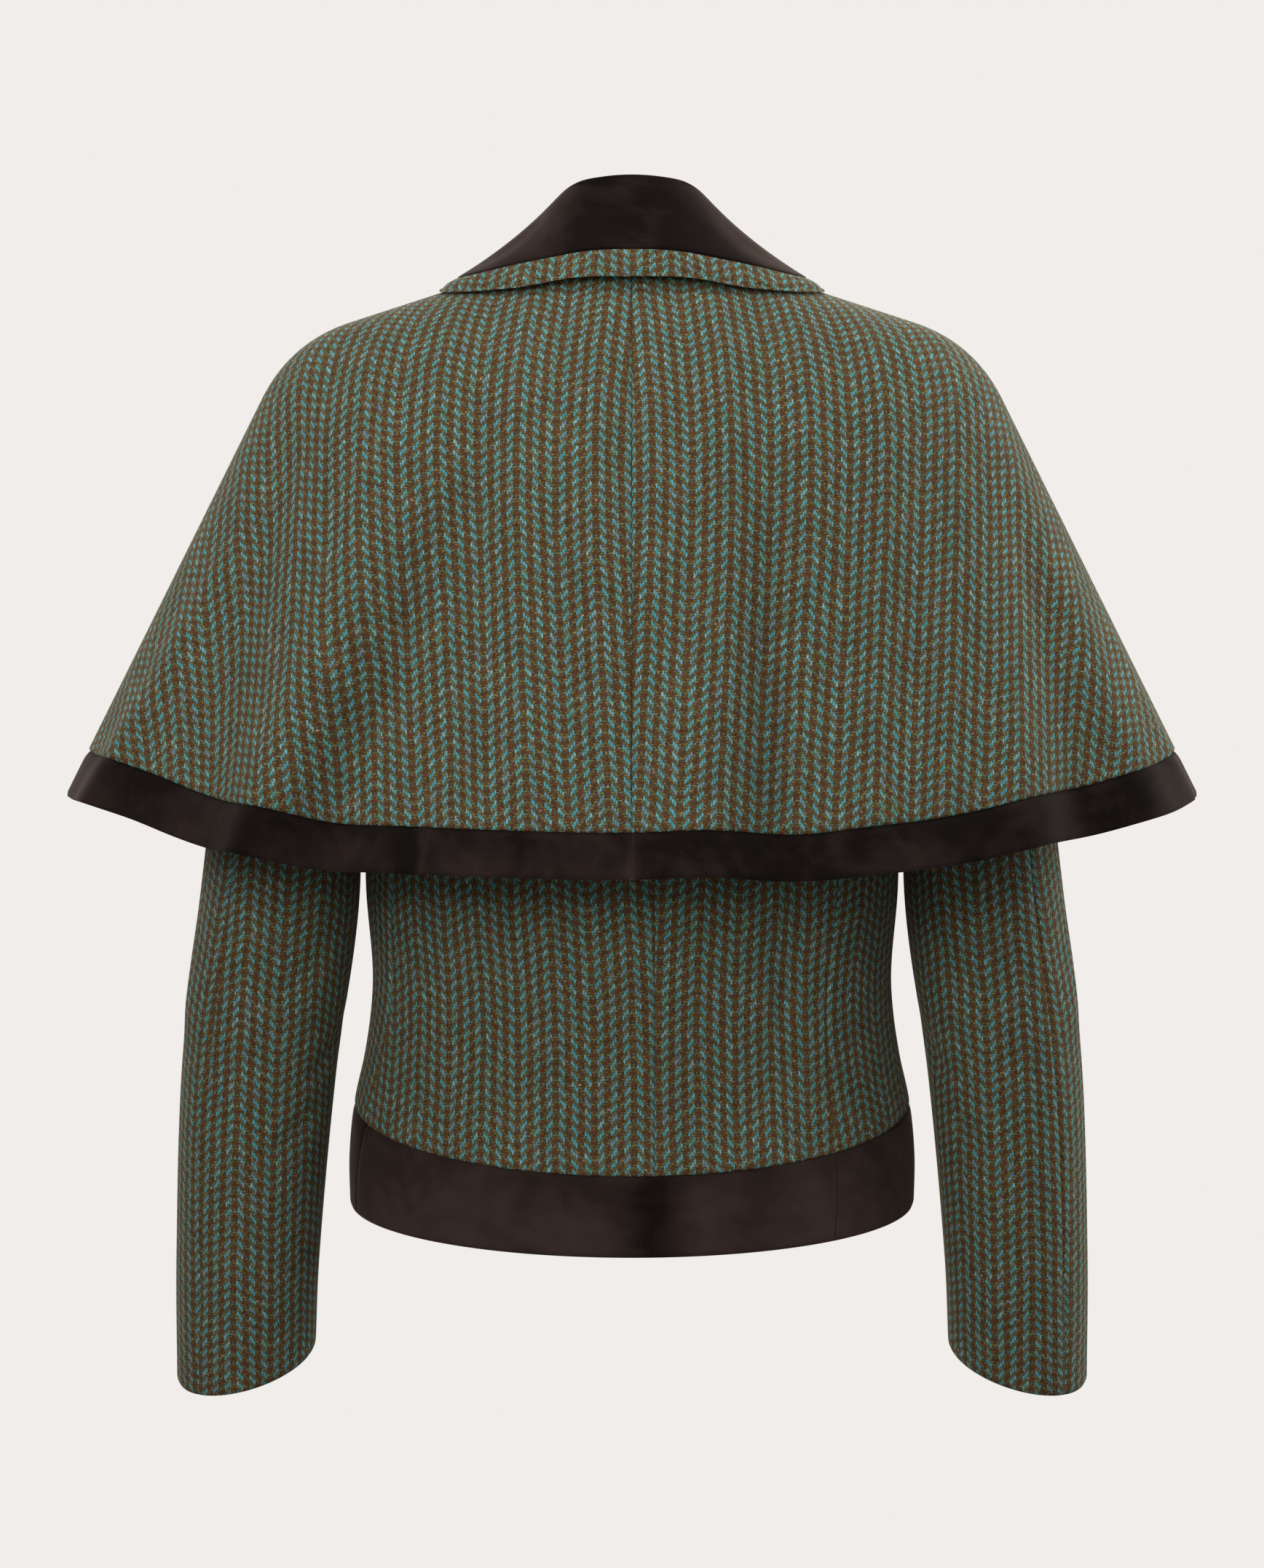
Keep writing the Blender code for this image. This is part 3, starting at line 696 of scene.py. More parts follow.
def cut_size(plan, points):
    """The cloth that a piece is cut from: its width and length, and the area of the cut.

    A strip much longer than wide is cut straight and eased into its curve.
    """
    first, second = plan[1:, 1:] - plan[:-1, :-1], plan[1:, :-1] - plan[:-1, 1:]
    area = 0.5 * np.abs(first[..., 0] * second[..., 1] - first[..., 1] * second[..., 0]).sum()
    length, width = from_edge(points, 1)[0][:, -1].mean(), from_edge(points, 0)[0][-1].mean()
    if width < STRIP_SHARE * length:
        return (width, length), min(area, width * length)
    return tuple(np.ptp(plan.reshape(-1, 2), axis=0)), area


# A cut piece: its form and its four edges there, their finish (left, right, low, high), its creases,
# the column of its grain line, how it is held and what it lies on, and its strokes of painted sheen,
# highlight and shade
Piece = namedtuple(
    "Piece", "node form first last low high turns creases grain held rests_on nap", defaults=((),)
)


def both_faces(piece, thickness, across, along):
    """The outer and the inner face of a piece, with its creases and turned edges."""
    points = piece.form(across, along)
    nudge_across = NUDGE_SHARE * (across.max() - across.min())
    nudge_along = NUDGE_SHARE * (piece.high - piece.low)
    outward = np.cross(
        piece.form(across + nudge_across, along) - piece.form(across - nudge_across, along),
        piece.form(across, along + nudge_along) - piece.form(across, along - nudge_along),
    )
    outward = outward / np.linalg.norm(outward, axis=-1, keepdims=True)
    outer, inner = creased(piece.creases, across, along), np.zeros(across.shape)
    edge_ways = from_edge(points, 1) + from_edge(points, 0)
    for way, turn in zip(edge_ways, piece.turns):
        deep, shallow = turned(way, turn)
        outer = outer - deep
        inner = inner + deep + shallow
    outside = points + outward * outer[..., None]
    inside = outside - outward * (thickness - inner)[..., None]
    return np.stack([outside, inside])


def shell(name, faces):
    """A closed mesh between two grids of points, and the row and column of each of its points."""
    count_down, count_across = faces.shape[1:3]
    bm = bmesh.new()
    bmesh.ops.create_grid(
        bm, x_segments=count_across - 1, y_segments=count_down - 1, size=0.5
    )
    made = bmesh.ops.extrude_face_region(bm, geom=bm.faces[:], use_keep_orig=True)
    bmesh.ops.translate(
        bm, vec=(0, 0, -1), verts=[v for v in made["geom"] if isinstance(v, bmesh.types.BMVert)]
    )
    bmesh.ops.recalc_face_normals(bm, faces=bm.faces[:])
    mesh = bpy.data.meshes.new(name)
    bm.to_mesh(mesh)
    bm.free()
    spots = np.empty(len(mesh.vertices) * 3)
    mesh.vertices.foreach_get("co", spots)
    x, y, z = spots.reshape(-1, 3).T
    column = np.rint((x + 0.5) * (count_across - 1)).astype(int)
    row = np.rint((y + 0.5) * (count_down - 1)).astype(int)
    face = (z < -0.5).astype(int)
    mesh.vertices.foreach_set("co", faces[face, row, column].ravel())
    return mesh, row, column


def cloth(piece, thickness, step, finish):
    """Makes one cut piece of cloth, attaches it to the root body and returns it."""
    def place(across, along):
        rows = np.broadcast_to(along[:, None], (len(along), len(across)))
        return between(piece.first(rows), piece.last(rows), across[None, :]), rows

    plan_across, plan_along = np.linspace(0, 1, PLAN_COLUMNS + 1), np.linspace(0, 1, PLAN_ROWS + 1)
    plan_points = piece.form(*place(plan_across, between(piece.low, piece.high, plan_along)))
    plan = flatten(plan_points, piece.grain)
    width = from_edge(plan_points, 1)[0][:, -1].max()
    height = from_edge(plan_points, 0)[0][-1].max()

    left, right, low, high = piece.turns
    column_shares = spread(width, step, left.reach, right.reach)
    row_shares = spread(height, step, low.reach, high.reach)
    across, along = place(column_shares, between(piece.low, piece.high, row_shares))
    name = piece.node + "_cloth"
    mesh, row, column = shell(name, both_faces(piece, thickness, across, along))

    shift = np.array(WEAVE_SHIFTS.get(piece.node, (0.0, 0.0)))
    flat = plan_at(plan, column_shares, row_shares) + shift
    if piece.grain == LAST_EDGE:
        flat = flat * np.array([-1.0, 1.0])
    corners = np.empty(len(mesh.loops), int)
    mesh.loops.foreach_get("vertex_index", corners)
    plan_map = mesh.uv_layers.new(name=PLAN_MAP)
    plan_map.data.foreach_set("uv", flat[row[corners], column[corners]].ravel())
    # The velvet's colour gets painted sheen, highlights and shade from these strokes, kept on each
    # point
    if piece.nap:
        painted_light_values = creased(piece.nap, across, along)
        nap = mesh.attributes.new("nap", "FLOAT", "POINT")
        nap.data.foreach_set("value", painted_light_values[row, column])
    mesh.shade_smooth()
    mesh.set_sharp_from_angle(angle=np.radians(SHARP_EDGE_ANGLE))
    mesh.update()
    mesh.materials.append(finish)

    panel = bpy.data.objects.new(name, mesh)
    bpy.context.scene.collection.objects.link(panel)
    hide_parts(piece.node)
    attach(panel, "root")
    flat_size, flat_area = cut_size(plan, plan_points)
    list(piece.rests_on)
    return panel


class Shade:
    """A socket of a node tree that takes part in sums as a number does."""

    def __init__(self, tree, socket):
        self.tree = tree
        self.socket = socket

    def math(self, operation, *values):
        node = self.tree.nodes.new("ShaderNodeMath")
        node.operation = operation
        for slot, value in zip(node.inputs, values):
            if isinstance(value, Shade):
                self.tree.links.new(value.socket, slot)
            else:
                slot.default_value = value
        return Shade(self.tree, node.outputs[0])

    def __add__(self, other):
        return self.math("ADD", self, other)

    def __radd__(self, other):
        return self.math("ADD", other, self)

    def __sub__(self, other):
        return self.math("SUBTRACT", self, other)

    def __rsub__(self, other):
        return self.math("SUBTRACT", other, self)

    def __mul__(self, other):
        return self.math("MULTIPLY", self, other)

    def __rmul__(self, other):
        return self.math("MULTIPLY", other, self)

    def __truediv__(self, other):
        return self.math("DIVIDE", self, other)

    def __rtruediv__(self, other):
        return self.math("DIVIDE", other, self)

    def __mod__(self, other):
        return self.math("FLOORED_MODULO", self, other)

    def __rmod__(self, other):
        return self.math("FLOORED_MODULO", other, self)

    def __pow__(self, other):
        return self.math("POWER", self, other)

    def __rpow__(self, other):
        return self.math("POWER", other, self)

    def __lt__(self, other):
        return self.math("LESS_THAN", self, other)

    def __gt__(self, other):
        return self.math("GREATER_THAN", self, other)

    def __abs__(self):
        return self.math("ABSOLUTE", self)

    def clamp(self):
        return self.math("MINIMUM", self.math("MAXIMUM", self, 0.0), 1.0)


def whole(value):
    """The whole number at or below a value."""
    return value.math("FLOOR", value)


class Finish:
    """A cloth finish: a material, its one shader, and the nodes that feed it."""

    def __init__(self, name):
        self.material = bpy.data.materials.new(name)
        self.material.use_nodes = True
        self.tree = self.material.node_tree
        self.shader = self.tree.nodes["Principled BSDF"]

    def set(self, socket, value):
        """A value that is the same all over goes on the socket, any other is linked to it."""
        if isinstance(value, Shade):
            self.tree.links.new(value.socket, self.shader.inputs[socket])
        else:
            self.shader.inputs[socket].default_value = value

    def node(self, kind, settings, values, output=0):
        """Any node: its settings are set first, then its sockets get their values or links."""
        node = self.tree.nodes.new(kind)
        for name, setting in settings.items():
            setattr(node, name, setting)
        for name, value in values.items():
            if isinstance(value, Shade):
                self.tree.links.new(value.socket, node.inputs[name])
            else:
                node.inputs[name].default_value = value
        return Shade(self.tree, node.outputs[output])

    def plan(self):
        return self.node("ShaderNodeUVMap", {"uv_map": PLAN_MAP}, {})

    def noise(self, place, scale, detail, output="Fac", roughness=0.5):
        return self.node(
            "ShaderNodeTexNoise", {"noise_dimensions": "2D"},
            {"Vector": place, "Scale": scale, "Detail": detail, "Roughness": roughness}, output,
        )

    def chance(self, x, y):
        """A number from 0 to 1 that is set by chance for each pair of whole numbers."""
        place = self.vector(x, y)
        return self.node(
            "ShaderNodeTexWhiteNoise", {"noise_dimensions": "2D"}, {"Vector": place}, "Value"
        )

    def vector(self, x, y):
        return self.node("ShaderNodeCombineXYZ", {}, {"X": x, "Y": y})

    def parts(self, vector):
        x = self.node("ShaderNodeSeparateXYZ", {}, {"Vector": vector}, "X")
        y = self.node("ShaderNodeSeparateXYZ", {}, {"Vector": vector}, "Y")
        return x, y

    def shifted(self, place, by, amount):
        """A place moved by a noise colour, by up to half the amount each way."""
        centred = self.node(
            "ShaderNodeVectorMath", {"operation": "SUBTRACT"}, {0: by, 1: (0.5, 0.5, 0.5)}
        )
        return self.node(
            "ShaderNodeVectorMath", {"operation": "MULTIPLY_ADD"},
            {0: centred, 1: (amount, amount, 0.0), 2: place},
        )

    def mix(self, share, first, second, blend="MIX"):
        """Two colours mixed; share 0 keeps the first."""
        return self.node(
            "ShaderNodeMix", {"data_type": "RGBA", "blend_type": blend, "clamp_factor": True},
            {0: share, 6: first, 7: second}, 2,
        )

    def grey(self, value):
        return self.node(
            "ShaderNodeCombineColor", {}, {"Red": value, "Green": value, "Blue": value}
        )

    def bump(self, height, strength, distance):
        return self.node(
            "ShaderNodeBump", {}, {"Height": height, "Strength": strength, "Distance": distance}
        )


Weave = namedtuple("Weave", "u v end pick float_row warp_up height")


def herringbone(finish, place, jacket):
    """The weave at each place: two up and two down, with its twill turned at each half repeat."""
    u, v = finish.parts(place)
    ends, picks = u / jacket.end_pitch, v / jacket.pick_pitch
    end, pick = whole(ends), whole(picks)
    x, y = ends - end, picks - pick

    half_repeat = 0.5 * REPEAT_ENDS
    in_repeat = end % REPEAT_ENDS
    diagonal = pick - (half_repeat - abs(in_repeat - half_repeat))
    step = diagonal % TWILL_PICKS
    warp_up = step < 0.5 * TWILL_PICKS
    falling = in_repeat > half_repeat - 0.5
    warp_along = (step + y) * 0.5
    weft_rising = (3.0 - step + x) * 0.5
    weft_falling = (step - 2.0 + x) * 0.5
    weft_along = weft_rising + (weft_falling - weft_rising) * falling
    warp_round = 1.0 - (2.0 * x - 1.0) ** 2.0
    weft_round = 1.0 - (2.0 * y - 1.0) ** 2.0
    warp_arch = 4.0 * warp_along * (1.0 - warp_along)
    weft_arch = 4.0 * weft_along * (1.0 - weft_along)
    warp_ply = abs(2.0 * ((2.0 * x + 0.6 * y) % 1.0) - 1.0)
    weft_ply = abs(2.0 * ((2.0 * y + 0.5 * x) % 1.0) - 1.0)
    warp_height = (0.35 + 0.65 * warp_round) * (0.45 + 0.55 * warp_arch) * (1.0 - 0.45 * warp_ply)
    weft_height = (0.30 + 0.70 * weft_round) * (0.35 + 0.45 * weft_arch) * (1.0 - 0.55 * weft_ply)
    height = weft_height + (warp_height - weft_height) * warp_up
    return Weave(u, v, end, pick, whole(diagonal / TWILL_PICKS), warp_up, height)


def yarn_colour(finish, weave, jacket):
    """The colour of the yarn on top: teal and brown ends in threes over an olive weft."""
    teal_end = ((weave.end + 1.0) % (2.0 * COLOUR_ENDS)) > COLOUR_ENDS - 0.5
    float_chance = finish.chance(weave.end, weave.float_row)
    dash_chance = finish.chance(whole((weave.end + 1.0) / COLOUR_ENDS), weave.float_row + 0.5)
    pick_chance = finish.chance(weave.pick, whole(weave.u * 160.0))
    warp_fibres = finish.noise(finish.vector(weave.u * 2600.0, weave.v * 420.0), 1.0, 1.0)
    weft_fibres = finish.noise(finish.vector(weave.u * 420.0, weave.v * 2600.0), 1.0, 1.0)

    teal = finish.mix((dash_chance - 0.68) * 2.8, jacket.teal_yarn, jacket.slate_yarn)
    teal = finish.mix((0.22 - dash_chance) * 4.0, teal, jacket.green_yarn)
    teal = finish.mix((float_chance - 0.75) * 3.0, teal, jacket.pale_fibre)
    teal = finish.mix((warp_fibres - 0.55) * 4.0, teal, jacket.pale_fibre)
    brown = finish.mix(float_chance, jacket.brown_yarn, jacket.rust_yarn)
    brown = finish.mix((warp_fibres - 0.60) * 3.0, brown, jacket.olive_yarn)
    warp = finish.mix(teal_end, brown, teal)
    weft = finish.mix(pick_chance - 0.70, jacket.olive_yarn, jacket.tan_yarn)
    weft = finish.mix((weft_fibres - 0.53) * 5.0, weft, jacket.tan_yarn)
    weft = finish.mix((0.1 - pick_chance) * 6.0, weft, jacket.rust_yarn)
    return finish.mix(weave.warp_up, weft, warp)


def tweed_finish(name, jacket):
    """Herringbone tweed, a little uneven, with loose fibres, rare flecks and painted shade between
    and along its yarns.
    """
    finish = Finish(name)
    plan = finish.plan()
    wander = finish.noise(plan, 60.0, 1.0, "Color")
    place = finish.shifted(plan, wander, 0.0012)
    jitter = finish.noise(plan, 700.0, 1.0, "Color")
    place = finish.shifted(place, jitter, 0.0013)
    weave = herringbone(finish, place, jacket)

    cloud = finish.noise(plan, 38.0, 2.0)
    # Painted shade: the colour darkens in the gaps between yarns and on their rounded sides and
    # plies, following their relief, times a random unevenness of tone
    painted_yarn_shade_and_tone = (0.10 + 1.40 * weave.height) * (0.86 + 0.28 * cloud)
    colour = yarn_colour(finish, weave, jacket)
    colour = finish.mix(1.0, colour, finish.grey(painted_yarn_shade_and_tone), "MULTIPLY")
    tangle = finish.shifted(plan, finish.noise(plan, 900.0, 1.0, "Color"), 0.002)
    fuzz = finish.noise(tangle, 1500.0, 1.0)
    colour = finish.mix((fuzz - 0.52) * 1.4, colour, jacket.fuzz_colour)
    fleck = finish.noise(place, 420.0, 0.0)
    fleck_hue = finish.noise(plan, 90.0, 0.0)
    fleck_colour = finish.mix((fleck_hue - 0.45) * 10.0, jacket.fleck_rose, jacket.fleck_straw)
    colour = finish.mix((fleck - 0.86) * 9.0, colour, fleck_colour)

    finish.set("Base Color", colour)
    finish.set("Roughness", 0.95)
    finish.set("Specular IOR Level", 0.12)
    finish.set("Sheen Weight", 0.19)
    finish.set("Sheen Roughness", 0.35)
    finish.set("Sheen Tint", (0.95, 0.74, 0.44, 1.0))
    finish.set("Normal", finish.bump(weave.height + 0.4 * fuzz, 0.4, 0.0005))
    return finish.material


def velvet_finish(name, jacket):
    """Dark velvet: a cloudy nap with a soft sheen, its colour lightened by painted sheen and
    highlights and darkened by painted shade where its strokes lie.
    """
    finish = Finish(name)
    plan = finish.plan()
    place = finish.shifted(plan, finish.noise(plan, 14.0, 2.0, "Color"), 0.03)
    cloud = finish.noise(place, 22.0, 3.0)
    brushed = finish.noise(place, 90.0, 2.0)
    pile = finish.noise(plan, 1300.0, 2.0)
    painted_light_strokes = finish.node("ShaderNodeAttribute", {"attribute_name": "nap"}, {}, "Fac")
    # Random nap tone on top of the painted sheen, highlights and shade laid on the piece
    nap = painted_light_strokes + 0.9 * (cloud - 0.5) + 0.35 * (brushed - 0.5) + 0.50 * (pile - 0.5)
    finish.set("Base Color", finish.mix(nap.clamp(), jacket.velvet_dark, jacket.velvet_light))
    finish.set("Roughness", 0.9)
    finish.set("Specular IOR Level", 0.1)
    finish.set("Sheen Weight", 0.3)
    finish.set("Sheen Roughness", 0.4)
    finish.set("Sheen Tint", (0.60, 0.45, 0.37, 1.0))
    finish.set("Normal", finish.bump(pile + brushed, 0.4, 0.0005))
    return finish.material


def finish_called(name, make):
    """The finish of that name, made on its first use."""
    return bpy.data.materials.get(name) or make(name, bpy.context.scene.cape_jacket)


def colour_property(name, description, default):
    return bpy.props.FloatVectorProperty(
        name=name, description=description, subtype="COLOR", size=4, min=0.0, max=1.0,
        default=(*default, 1.0),
    )


def length_property(name, description, default):
    return bpy.props.FloatProperty(
        name=name, description=description, unit="LENGTH", subtype="DISTANCE", min=0.0001,
        default=default, precision=5,
    )


class CapeJacketSettings(bpy.types.PropertyGroup):
    """Sizes and colours of the cloths and of the studio"""

    tweed_thickness: length_property("Tweed thickness", "How thick the tweed is", 0.0022)
    velvet_thickness: length_property("Velvet thickness", "How thick the velvet is", 0.0018)
    mesh_step: length_property("Mesh step", "Distance between points of the cloth", 0.004)
    end_pitch: length_property("End pitch", "Distance between two warp ends", 0.00124)
    pick_pitch: length_property("Pick pitch", "Distance between two picks", 0.00155)
    teal_yarn: colour_property("Teal yarn", "Brighter warp yarn", (0.104, 0.405, 0.445))
    slate_yarn: colour_property("Slate yarn", "Greyer warp yarn", (0.190, 0.300, 0.390))
    green_yarn: colour_property("Green yarn", "Greener warp yarn", (0.115, 0.350, 0.280))
    pale_fibre: colour_property("Pale fibre", "Light fibres on the warp", (0.340, 0.600, 0.615))
    brown_yarn: colour_property("Brown yarn", "Dark warp yarn", (0.112, 0.051, 0.024))
    rust_yarn: colour_property("Rust yarn", "Redder dark warp yarn", (0.190, 0.070, 0.036))
    olive_yarn: colour_property("Olive yarn", "Weft yarn", (0.166, 0.143, 0.060))
    tan_yarn: colour_property("Tan yarn", "Lighter weft yarn", (0.500, 0.395, 0.170))
    fuzz_colour: colour_property("Fuzz", "Loose fibres on the tweed", (0.136, 0.112, 0.060))
    fleck_rose: colour_property("Rose flecks", "Rare flecks of rose", (0.48, 0.20, 0.26))
    fleck_straw: colour_property("Straw flecks", "Rare flecks of straw", (0.58, 0.47, 0.26))
    # The velvet's colour runs between these two by random nap tone and by the painted sheen,
    # highlights and shade of its strokes
    velvet_dark: colour_property("Velvet dark", "Nap that lies away", (0.0088, 0.0056, 0.0049))
    velvet_light: colour_property("Velvet light", "Nap that lies towards", (0.066, 0.041, 0.034))
    backdrop: colour_property("Backdrop", "Colour of floor and backdrop", (0.880, 0.847, 0.823))
    light_power: bpy.props.FloatProperty(
        name="Light power", description="Power of a lamp of share 1", unit="POWER", default=26.5
    )
    surround_light: bpy.props.FloatProperty(
        name="Surround", description="Even light from all round", min=0.0, default=0.12
    )


def tweed_pieces(pieces):
    jacket = bpy.context.scene.cape_jacket
    finish = finish_called("herringbone_tweed", tweed_finish)
    for piece in pieces:
        panel = cloth(piece, jacket.tweed_thickness, jacket.mesh_step, finish)


def velvet_pieces(pieces):
    jacket = bpy.context.scene.cape_jacket
    finish = finish_called("dark_velvet", velvet_finish)
    step = VELVET_STEP_SHARE * jacket.mesh_step
    for piece in pieces:
        panel = cloth(piece, jacket.velvet_thickness, step, finish)


class JACKET_OT_body(bpy.types.Operator):
    """Makes the six tweed pieces of the body"""

    bl_idname = "cape_jacket.body"
    bl_label = "Body"

    def execute(self, context):
        left_seam, right_seam = side_back_seam(LEFT_SIDE_SEAM), side_back_seam(RIGHT_SIDE_SEAM)
        left_front, right_front = fixed(-FRONT_ARMHOLE_ANGLE), fixed(FRONT_ARMHOLE_ANGLE)
        neck, chest = NECK_HEIGHT, CHEST_HEIGHT
        cuts = (
            ("body_back_left", left_seam, middle_back_seam, neck, LAST_EDGE, "cape_left"),
            ("body_back_right", middle_back_seam, right_seam, neck, FIRST_EDGE, "cape_right"),
            ("body_side_left", left_front, left_seam, chest, LAST_EDGE, "body_back_left"),
            ("body_side_right", right_seam, right_front, chest, FIRST_EDGE, "body_back_right"),
            ("body_front_left", fixed(-180.0), left_front, neck, FIRST_EDGE, "cape_left"),
            ("body_front_right", right_front, fixed(180.0), neck, LAST_EDGE, "cape_right"),
        )
        tweed_pieces(
            Piece(
                node, body_form, first, last, BAND_SEAM_HEIGHT, top,
                (SOFT_SEAM, SOFT_SEAM, LAPPED, TUCKED), BODY_CREASES, grain, "hung", [beside],
            )
            for node, first, last, top, grain, beside in cuts
        )
        return {"FINISHED"}


class JACKET_OT_hem_bands(bpy.types.Operator):
    """Makes the three velvet bands round the hem of the body"""

    bl_idname = "cape_jacket.hem_bands"
    bl_label = "Hem bands"

    def execute(self, context):
        left_seam, right_seam = side_back_seam(LEFT_SIDE_SEAM), side_back_seam(RIGHT_SIDE_SEAM)
        cuts = (
            ("hem_band_back", left_seam, right_seam, "body_back_left"),
            ("hem_band_left", fixed(-180.0), left_seam, "body_side_left"),
            ("hem_band_right", right_seam, fixed(180.0), "body_side_right"),
        )
        velvet_pieces(
            Piece(
                node, body_form, first, last, HEM_HEIGHT, BAND_SEAM_HEIGHT,
                (SEAM, SEAM, FREE, UNDER_LAP), BODY_CREASES, FIRST_EDGE, "hung", [above],
                HEM_BAND_PAINTED_LIGHT,
            )
            for node, first, last, above in cuts
        )
        return {"FINISHED"}


class JACKET_OT_sleeves(bpy.types.Operator):
    """Makes the upper and under piece of both sleeves"""

    bl_idname = "cape_jacket.sleeves"
    bl_label = "Sleeves"

    def execute(self, context):
        left_creases = tuple(
            crease._replace(
                low_across=-crease.low_across + LEFT_CREASE_LOW_TURN,
                high_across=-crease.high_across + LEFT_CREASE_HIGH_TURN,
            )
            for crease in SLEEVE_CREASES
        )
        right = ("right", right_sleeve, SLEEVE_CREASES)
        left = ("left", left_sleeve, left_creases)
        front, round_front = fixed(SLEEVE_FRONT_SEAM), fixed(360.0 + SLEEVE_FRONT_SEAM)
        left_front, left_round = fixed(-SLEEVE_FRONT_SEAM), fixed(-360.0 - SLEEVE_FRONT_SEAM)
        cuts = (
            ("sleeve_under_", right, front, sleeve_back_seam, LAST_EDGE),
            ("sleeve_upper_", right, sleeve_back_seam, round_front, FIRST_EDGE),
            ("sleeve_under_", left, left_sleeve_back_seam, left_front, FIRST_EDGE),
            ("sleeve_upper_", left, left_round, left_sleeve_back_seam, LAST_EDGE),
        )
        tweed_pieces(
            Piece(
                part + side, form, first, last, 0.0, float(len(SLEEVE_RINGS)),
                (SOFT_SEAM, SOFT_SEAM, FREE, TUCKED), creases, grain, "hung", ["body_back_" + side],
            )
            for part, (side, form, creases), first, last, grain in cuts
        )
        return {"FINISHED"}


def cape_halves():
    """The halves of the cape: side, first and last edge with their finish, and grain line."""
    middle = fixed(0.0)
    return (
        ("left", fixed(-CAPE_FRONT_ANGLE), middle, (FREE, SEAM), LAST_EDGE),
        ("right", middle, fixed(CAPE_FRONT_ANGLE), (SEAM, FREE), FIRST_EDGE),
    )


class JACKET_OT_cape(bpy.types.Operator):
    """Makes the two tweed halves of the shoulder cape"""

    bl_idname = "cape_jacket.cape"
    bl_label = "Cape"

    def execute(self, context):
        tweed_pieces(
            Piece(
                "cape_" + side, cape_form, first, last, CAPE_BAND_SHARE, 1.0,
                (*turns, LAPPED, TUCKED), CAPE_CREASES, grain, "draped",
                ["body_back_" + side, "collar_velvet"],
            )
            for side, first, last, turns, grain in cape_halves()
        )
        return {"FINISHED"}


class JACKET_OT_cape_bands(bpy.types.Operator):
    """Makes the velvet bands on both halves of the cape's hem"""

    bl_idname = "cape_jacket.cape_bands"
    bl_label = "Cape bands"

    def execute(self, context):
        velvet_pieces(
            Piece(
                "cape_band_" + side, cape_form, first, last, 0.0, CAPE_BAND_SHARE,
                (*turns, FREE, UNDER_LAP), CAPE_CREASES + CAPE_BAND_DENTS, FIRST_EDGE, "hung",
                ["cape_" + side], CAPE_BAND_PAINTED_LIGHT,
            )
            for side, first, last, turns, _ in cape_halves()
        )
        return {"FINISHED"}


class JACKET_OT_collar(bpy.types.Operator):
    """Makes the velvet collar and the tweed strip along its edge"""

    bl_idname = "cape_jacket.collar"
    bl_label = "Collar"

    def execute(self, context):
        ends = fixed(-COLLAR_FRONT_ANGLE), fixed(COLLAR_FRONT_ANGLE)
        border = Piece(
            "collar_border", collar_form, *ends, 0.0, COLLAR_BORDER_SHARE,
            (FREE, FREE, STITCHED, SEAM), COLLAR_CREASES, MIDDLE, "folded",
            ["cape_left", "cape_right"],
        )
        collar = Piece(
            "collar_velvet", collar_form, *ends, COLLAR_BORDER_SHARE, 1.0,
            (FREE, FREE, SEAM, TUCKED), COLLAR_CREASES, FIRST_EDGE, "folded",
            ["body_back_left", "body_back_right"], COLLAR_PAINTED_SHEEN,
        )
        tweed_pieces((border,))
        velvet_pieces((collar,))
        return {"FINISHED"}


def studio_floor(jacket):
    """A pale floor that runs up into a dome all round, evenly lit."""
    bm = bmesh.new()
    bmesh.ops.create_uvsphere(bm, u_segments=64, v_segments=32, radius=FLOOR_RADIUS)
    for vert in bm.verts:
        vert.co.z = max(vert.co.z, FLOOR_HEIGHT)
    bmesh.ops.remove_doubles(bm, verts=bm.verts[:], dist=0.001)
    bmesh.ops.reverse_faces(bm, faces=bm.faces[:])
    mesh = bpy.data.meshes.new("studio_floor")
    bm.to_mesh(mesh)
    bm.free()
    finish = Finish("pale_floor")
    finish.set("Base Color", (0.0, 0.0, 0.0, 1.0))
    finish.set("Specular IOR Level", 0.0)
    finish.set("Emission Color", tuple(jacket.backdrop))
    finish.set("Emission Strength", 1.0)
    mesh.materials.append(finish.material)
    return mesh


def studio_lamp(lamp, power):
    """A large soft light on a stand round the jacket, turned towards it."""
    light = bpy.data.lights.new(lamp.name, "AREA")
    light.size = LAMP_SIZE
    light.energy = power * lamp.share
    stand = bpy.data.objects.new(lamp.name, light)
    turn, tilt = np.radians(lamp.turn), np.radians(lamp.tilt)
    away = np.array([np.sin(turn) * np.cos(tilt), -np.cos(turn) * np.cos(tilt), np.sin(tilt)])
    stand.location = np.array(LIT_MIDDLE) + LAMP_DISTANCE * away
    stand.rotation_euler = (np.pi / 2 - tilt, 0.0, turn)
    stand.visible_camera = False
    return stand


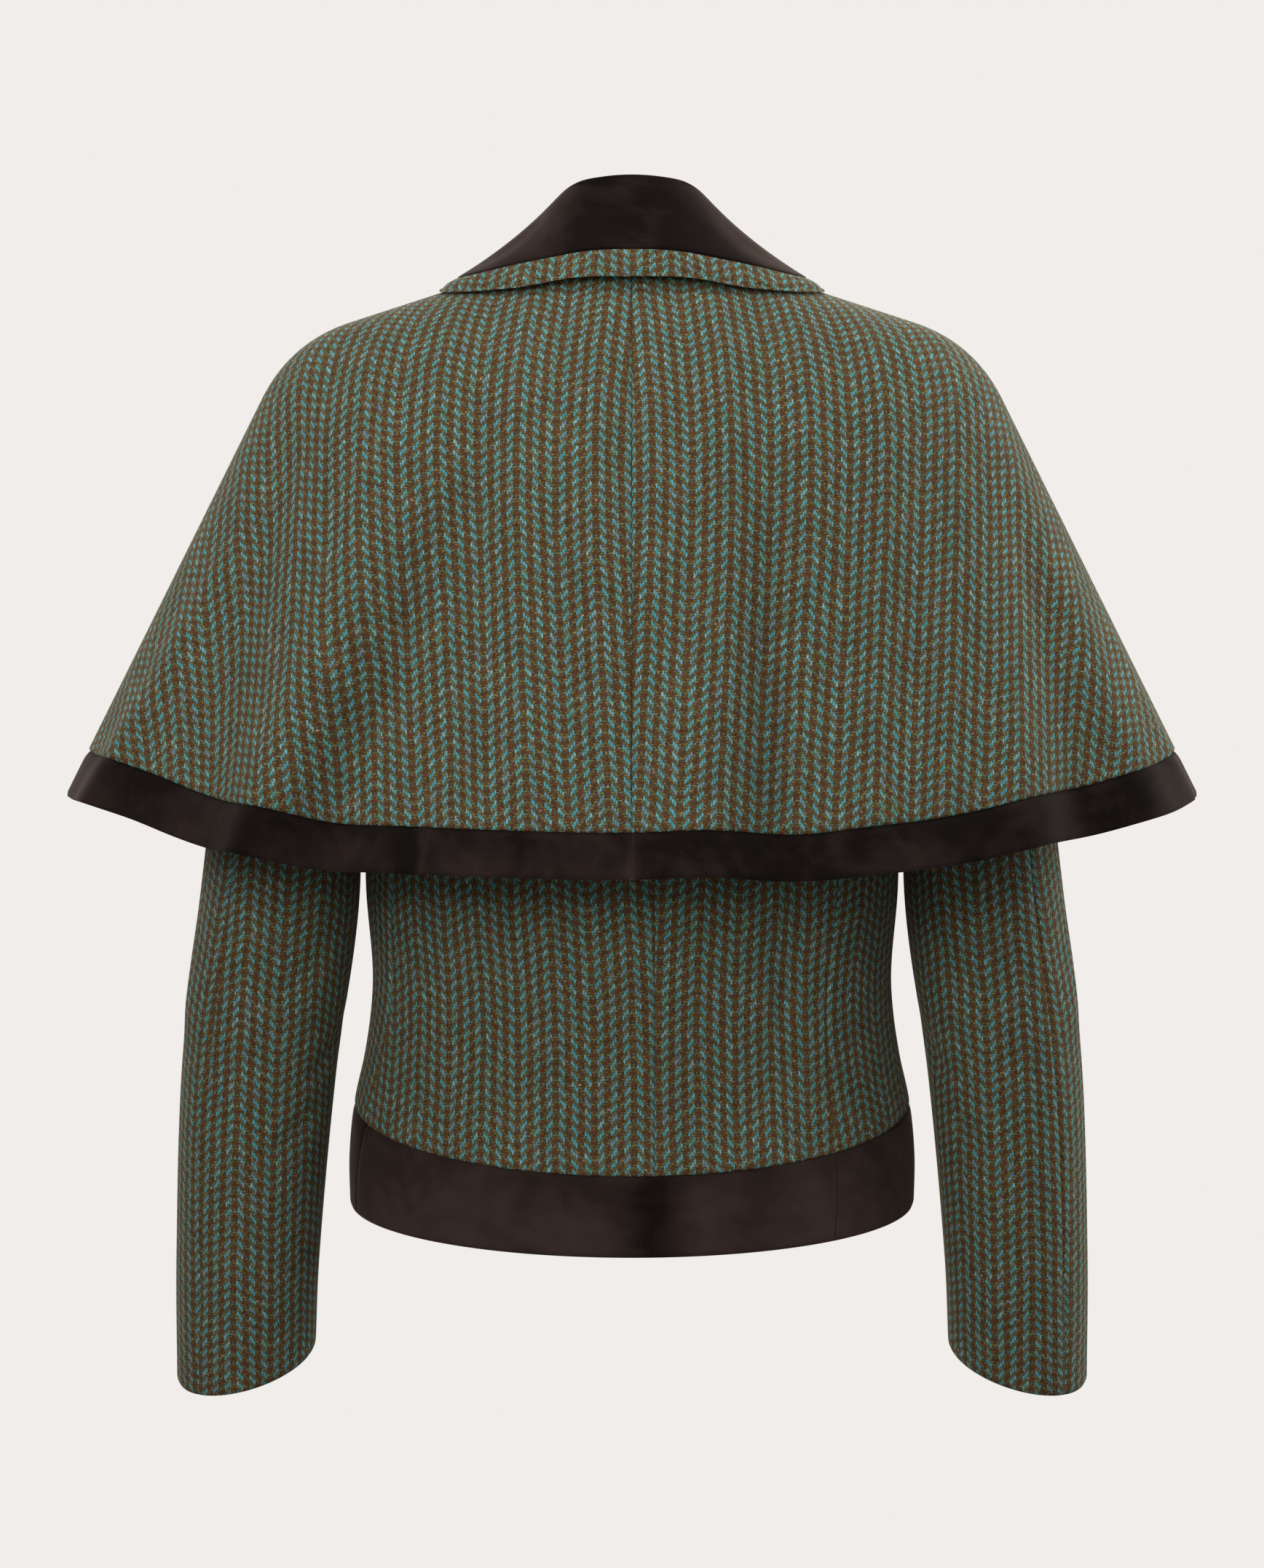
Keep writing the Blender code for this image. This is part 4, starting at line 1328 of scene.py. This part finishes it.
class JACKET_OT_studio(bpy.types.Operator):
    """Makes the pale floor, the soft lights and the camera"""

    bl_idname = "cape_jacket.studio"
    bl_label = "Studio"

    def execute(self, context):
        scene = context.scene
        jacket = scene.cape_jacket
        scene.view_settings.view_transform = "Standard"
        world = bpy.data.worlds.new("studio")
        world.use_nodes = True
        surround = world.node_tree.nodes["Background"]
        surround.inputs["Color"].default_value = (1.0, 1.0, 1.0, 1.0)
        surround.inputs["Strength"].default_value = jacket.surround_light
        scene.world = world

        backdrop = bpy.data.objects.new("studio_floor", studio_floor(jacket))
        scene.collection.objects.link(backdrop)
        backdrop.visible_diffuse = False
        backdrop.visible_glossy = False
        backdrop.visible_shadow = False
        for lamp in STUDIO_LAMPS:
            scene.collection.objects.link(studio_lamp(lamp, jacket.light_power))

        lens = bpy.data.cameras.new("camera")
        lens.sensor_width = CAMERA_SENSOR
        lens.lens = CAMERA_LENS
        camera = bpy.data.objects.new("camera", lens)
        camera.location = CAMERA_PLACE
        camera.rotation_euler = (np.radians(90.0), 0.0, 0.0)
        scene.collection.objects.link(camera)
        scene.camera = camera
        return {"FINISHED"}


class JACKET_PT_pieces(bpy.types.Panel):
    """Lists the pieces of the jacket and their settings"""

    bl_idname = "JACKET_PT_pieces"
    bl_label = "Cape Jacket"
    bl_space_type = "VIEW_3D"
    bl_region_type = "UI"
    bl_category = "Jacket"

    def draw(self, context):
        column = self.layout.column()
        for operator in OPERATORS:
            column.operator(operator.bl_idname)
        for name in CapeJacketSettings.__annotations__:
            column.prop(context.scene.cape_jacket, name)


OPERATORS = (
    JACKET_OT_body, JACKET_OT_hem_bands, JACKET_OT_sleeves, JACKET_OT_cape,
    JACKET_OT_cape_bands, JACKET_OT_collar, JACKET_OT_studio,
)
CLASSES = (CapeJacketSettings, *OPERATORS, JACKET_PT_pieces)


def register():
    for cls in CLASSES:
        bpy.utils.register_class(cls)
    bpy.types.Scene.cape_jacket = bpy.props.PointerProperty(type=CapeJacketSettings)


def unregister():
    del bpy.types.Scene.cape_jacket
    for cls in reversed(CLASSES):
        bpy.utils.unregister_class(cls)


def main():
    register()
    bpy.ops.cape_jacket.body()
    bpy.ops.cape_jacket.hem_bands()
    bpy.ops.cape_jacket.sleeves()
    bpy.ops.cape_jacket.cape()
    bpy.ops.cape_jacket.cape_bands()
    bpy.ops.cape_jacket.collar()
    bpy.ops.cape_jacket.studio()


if __name__ == "__main__":
    main()
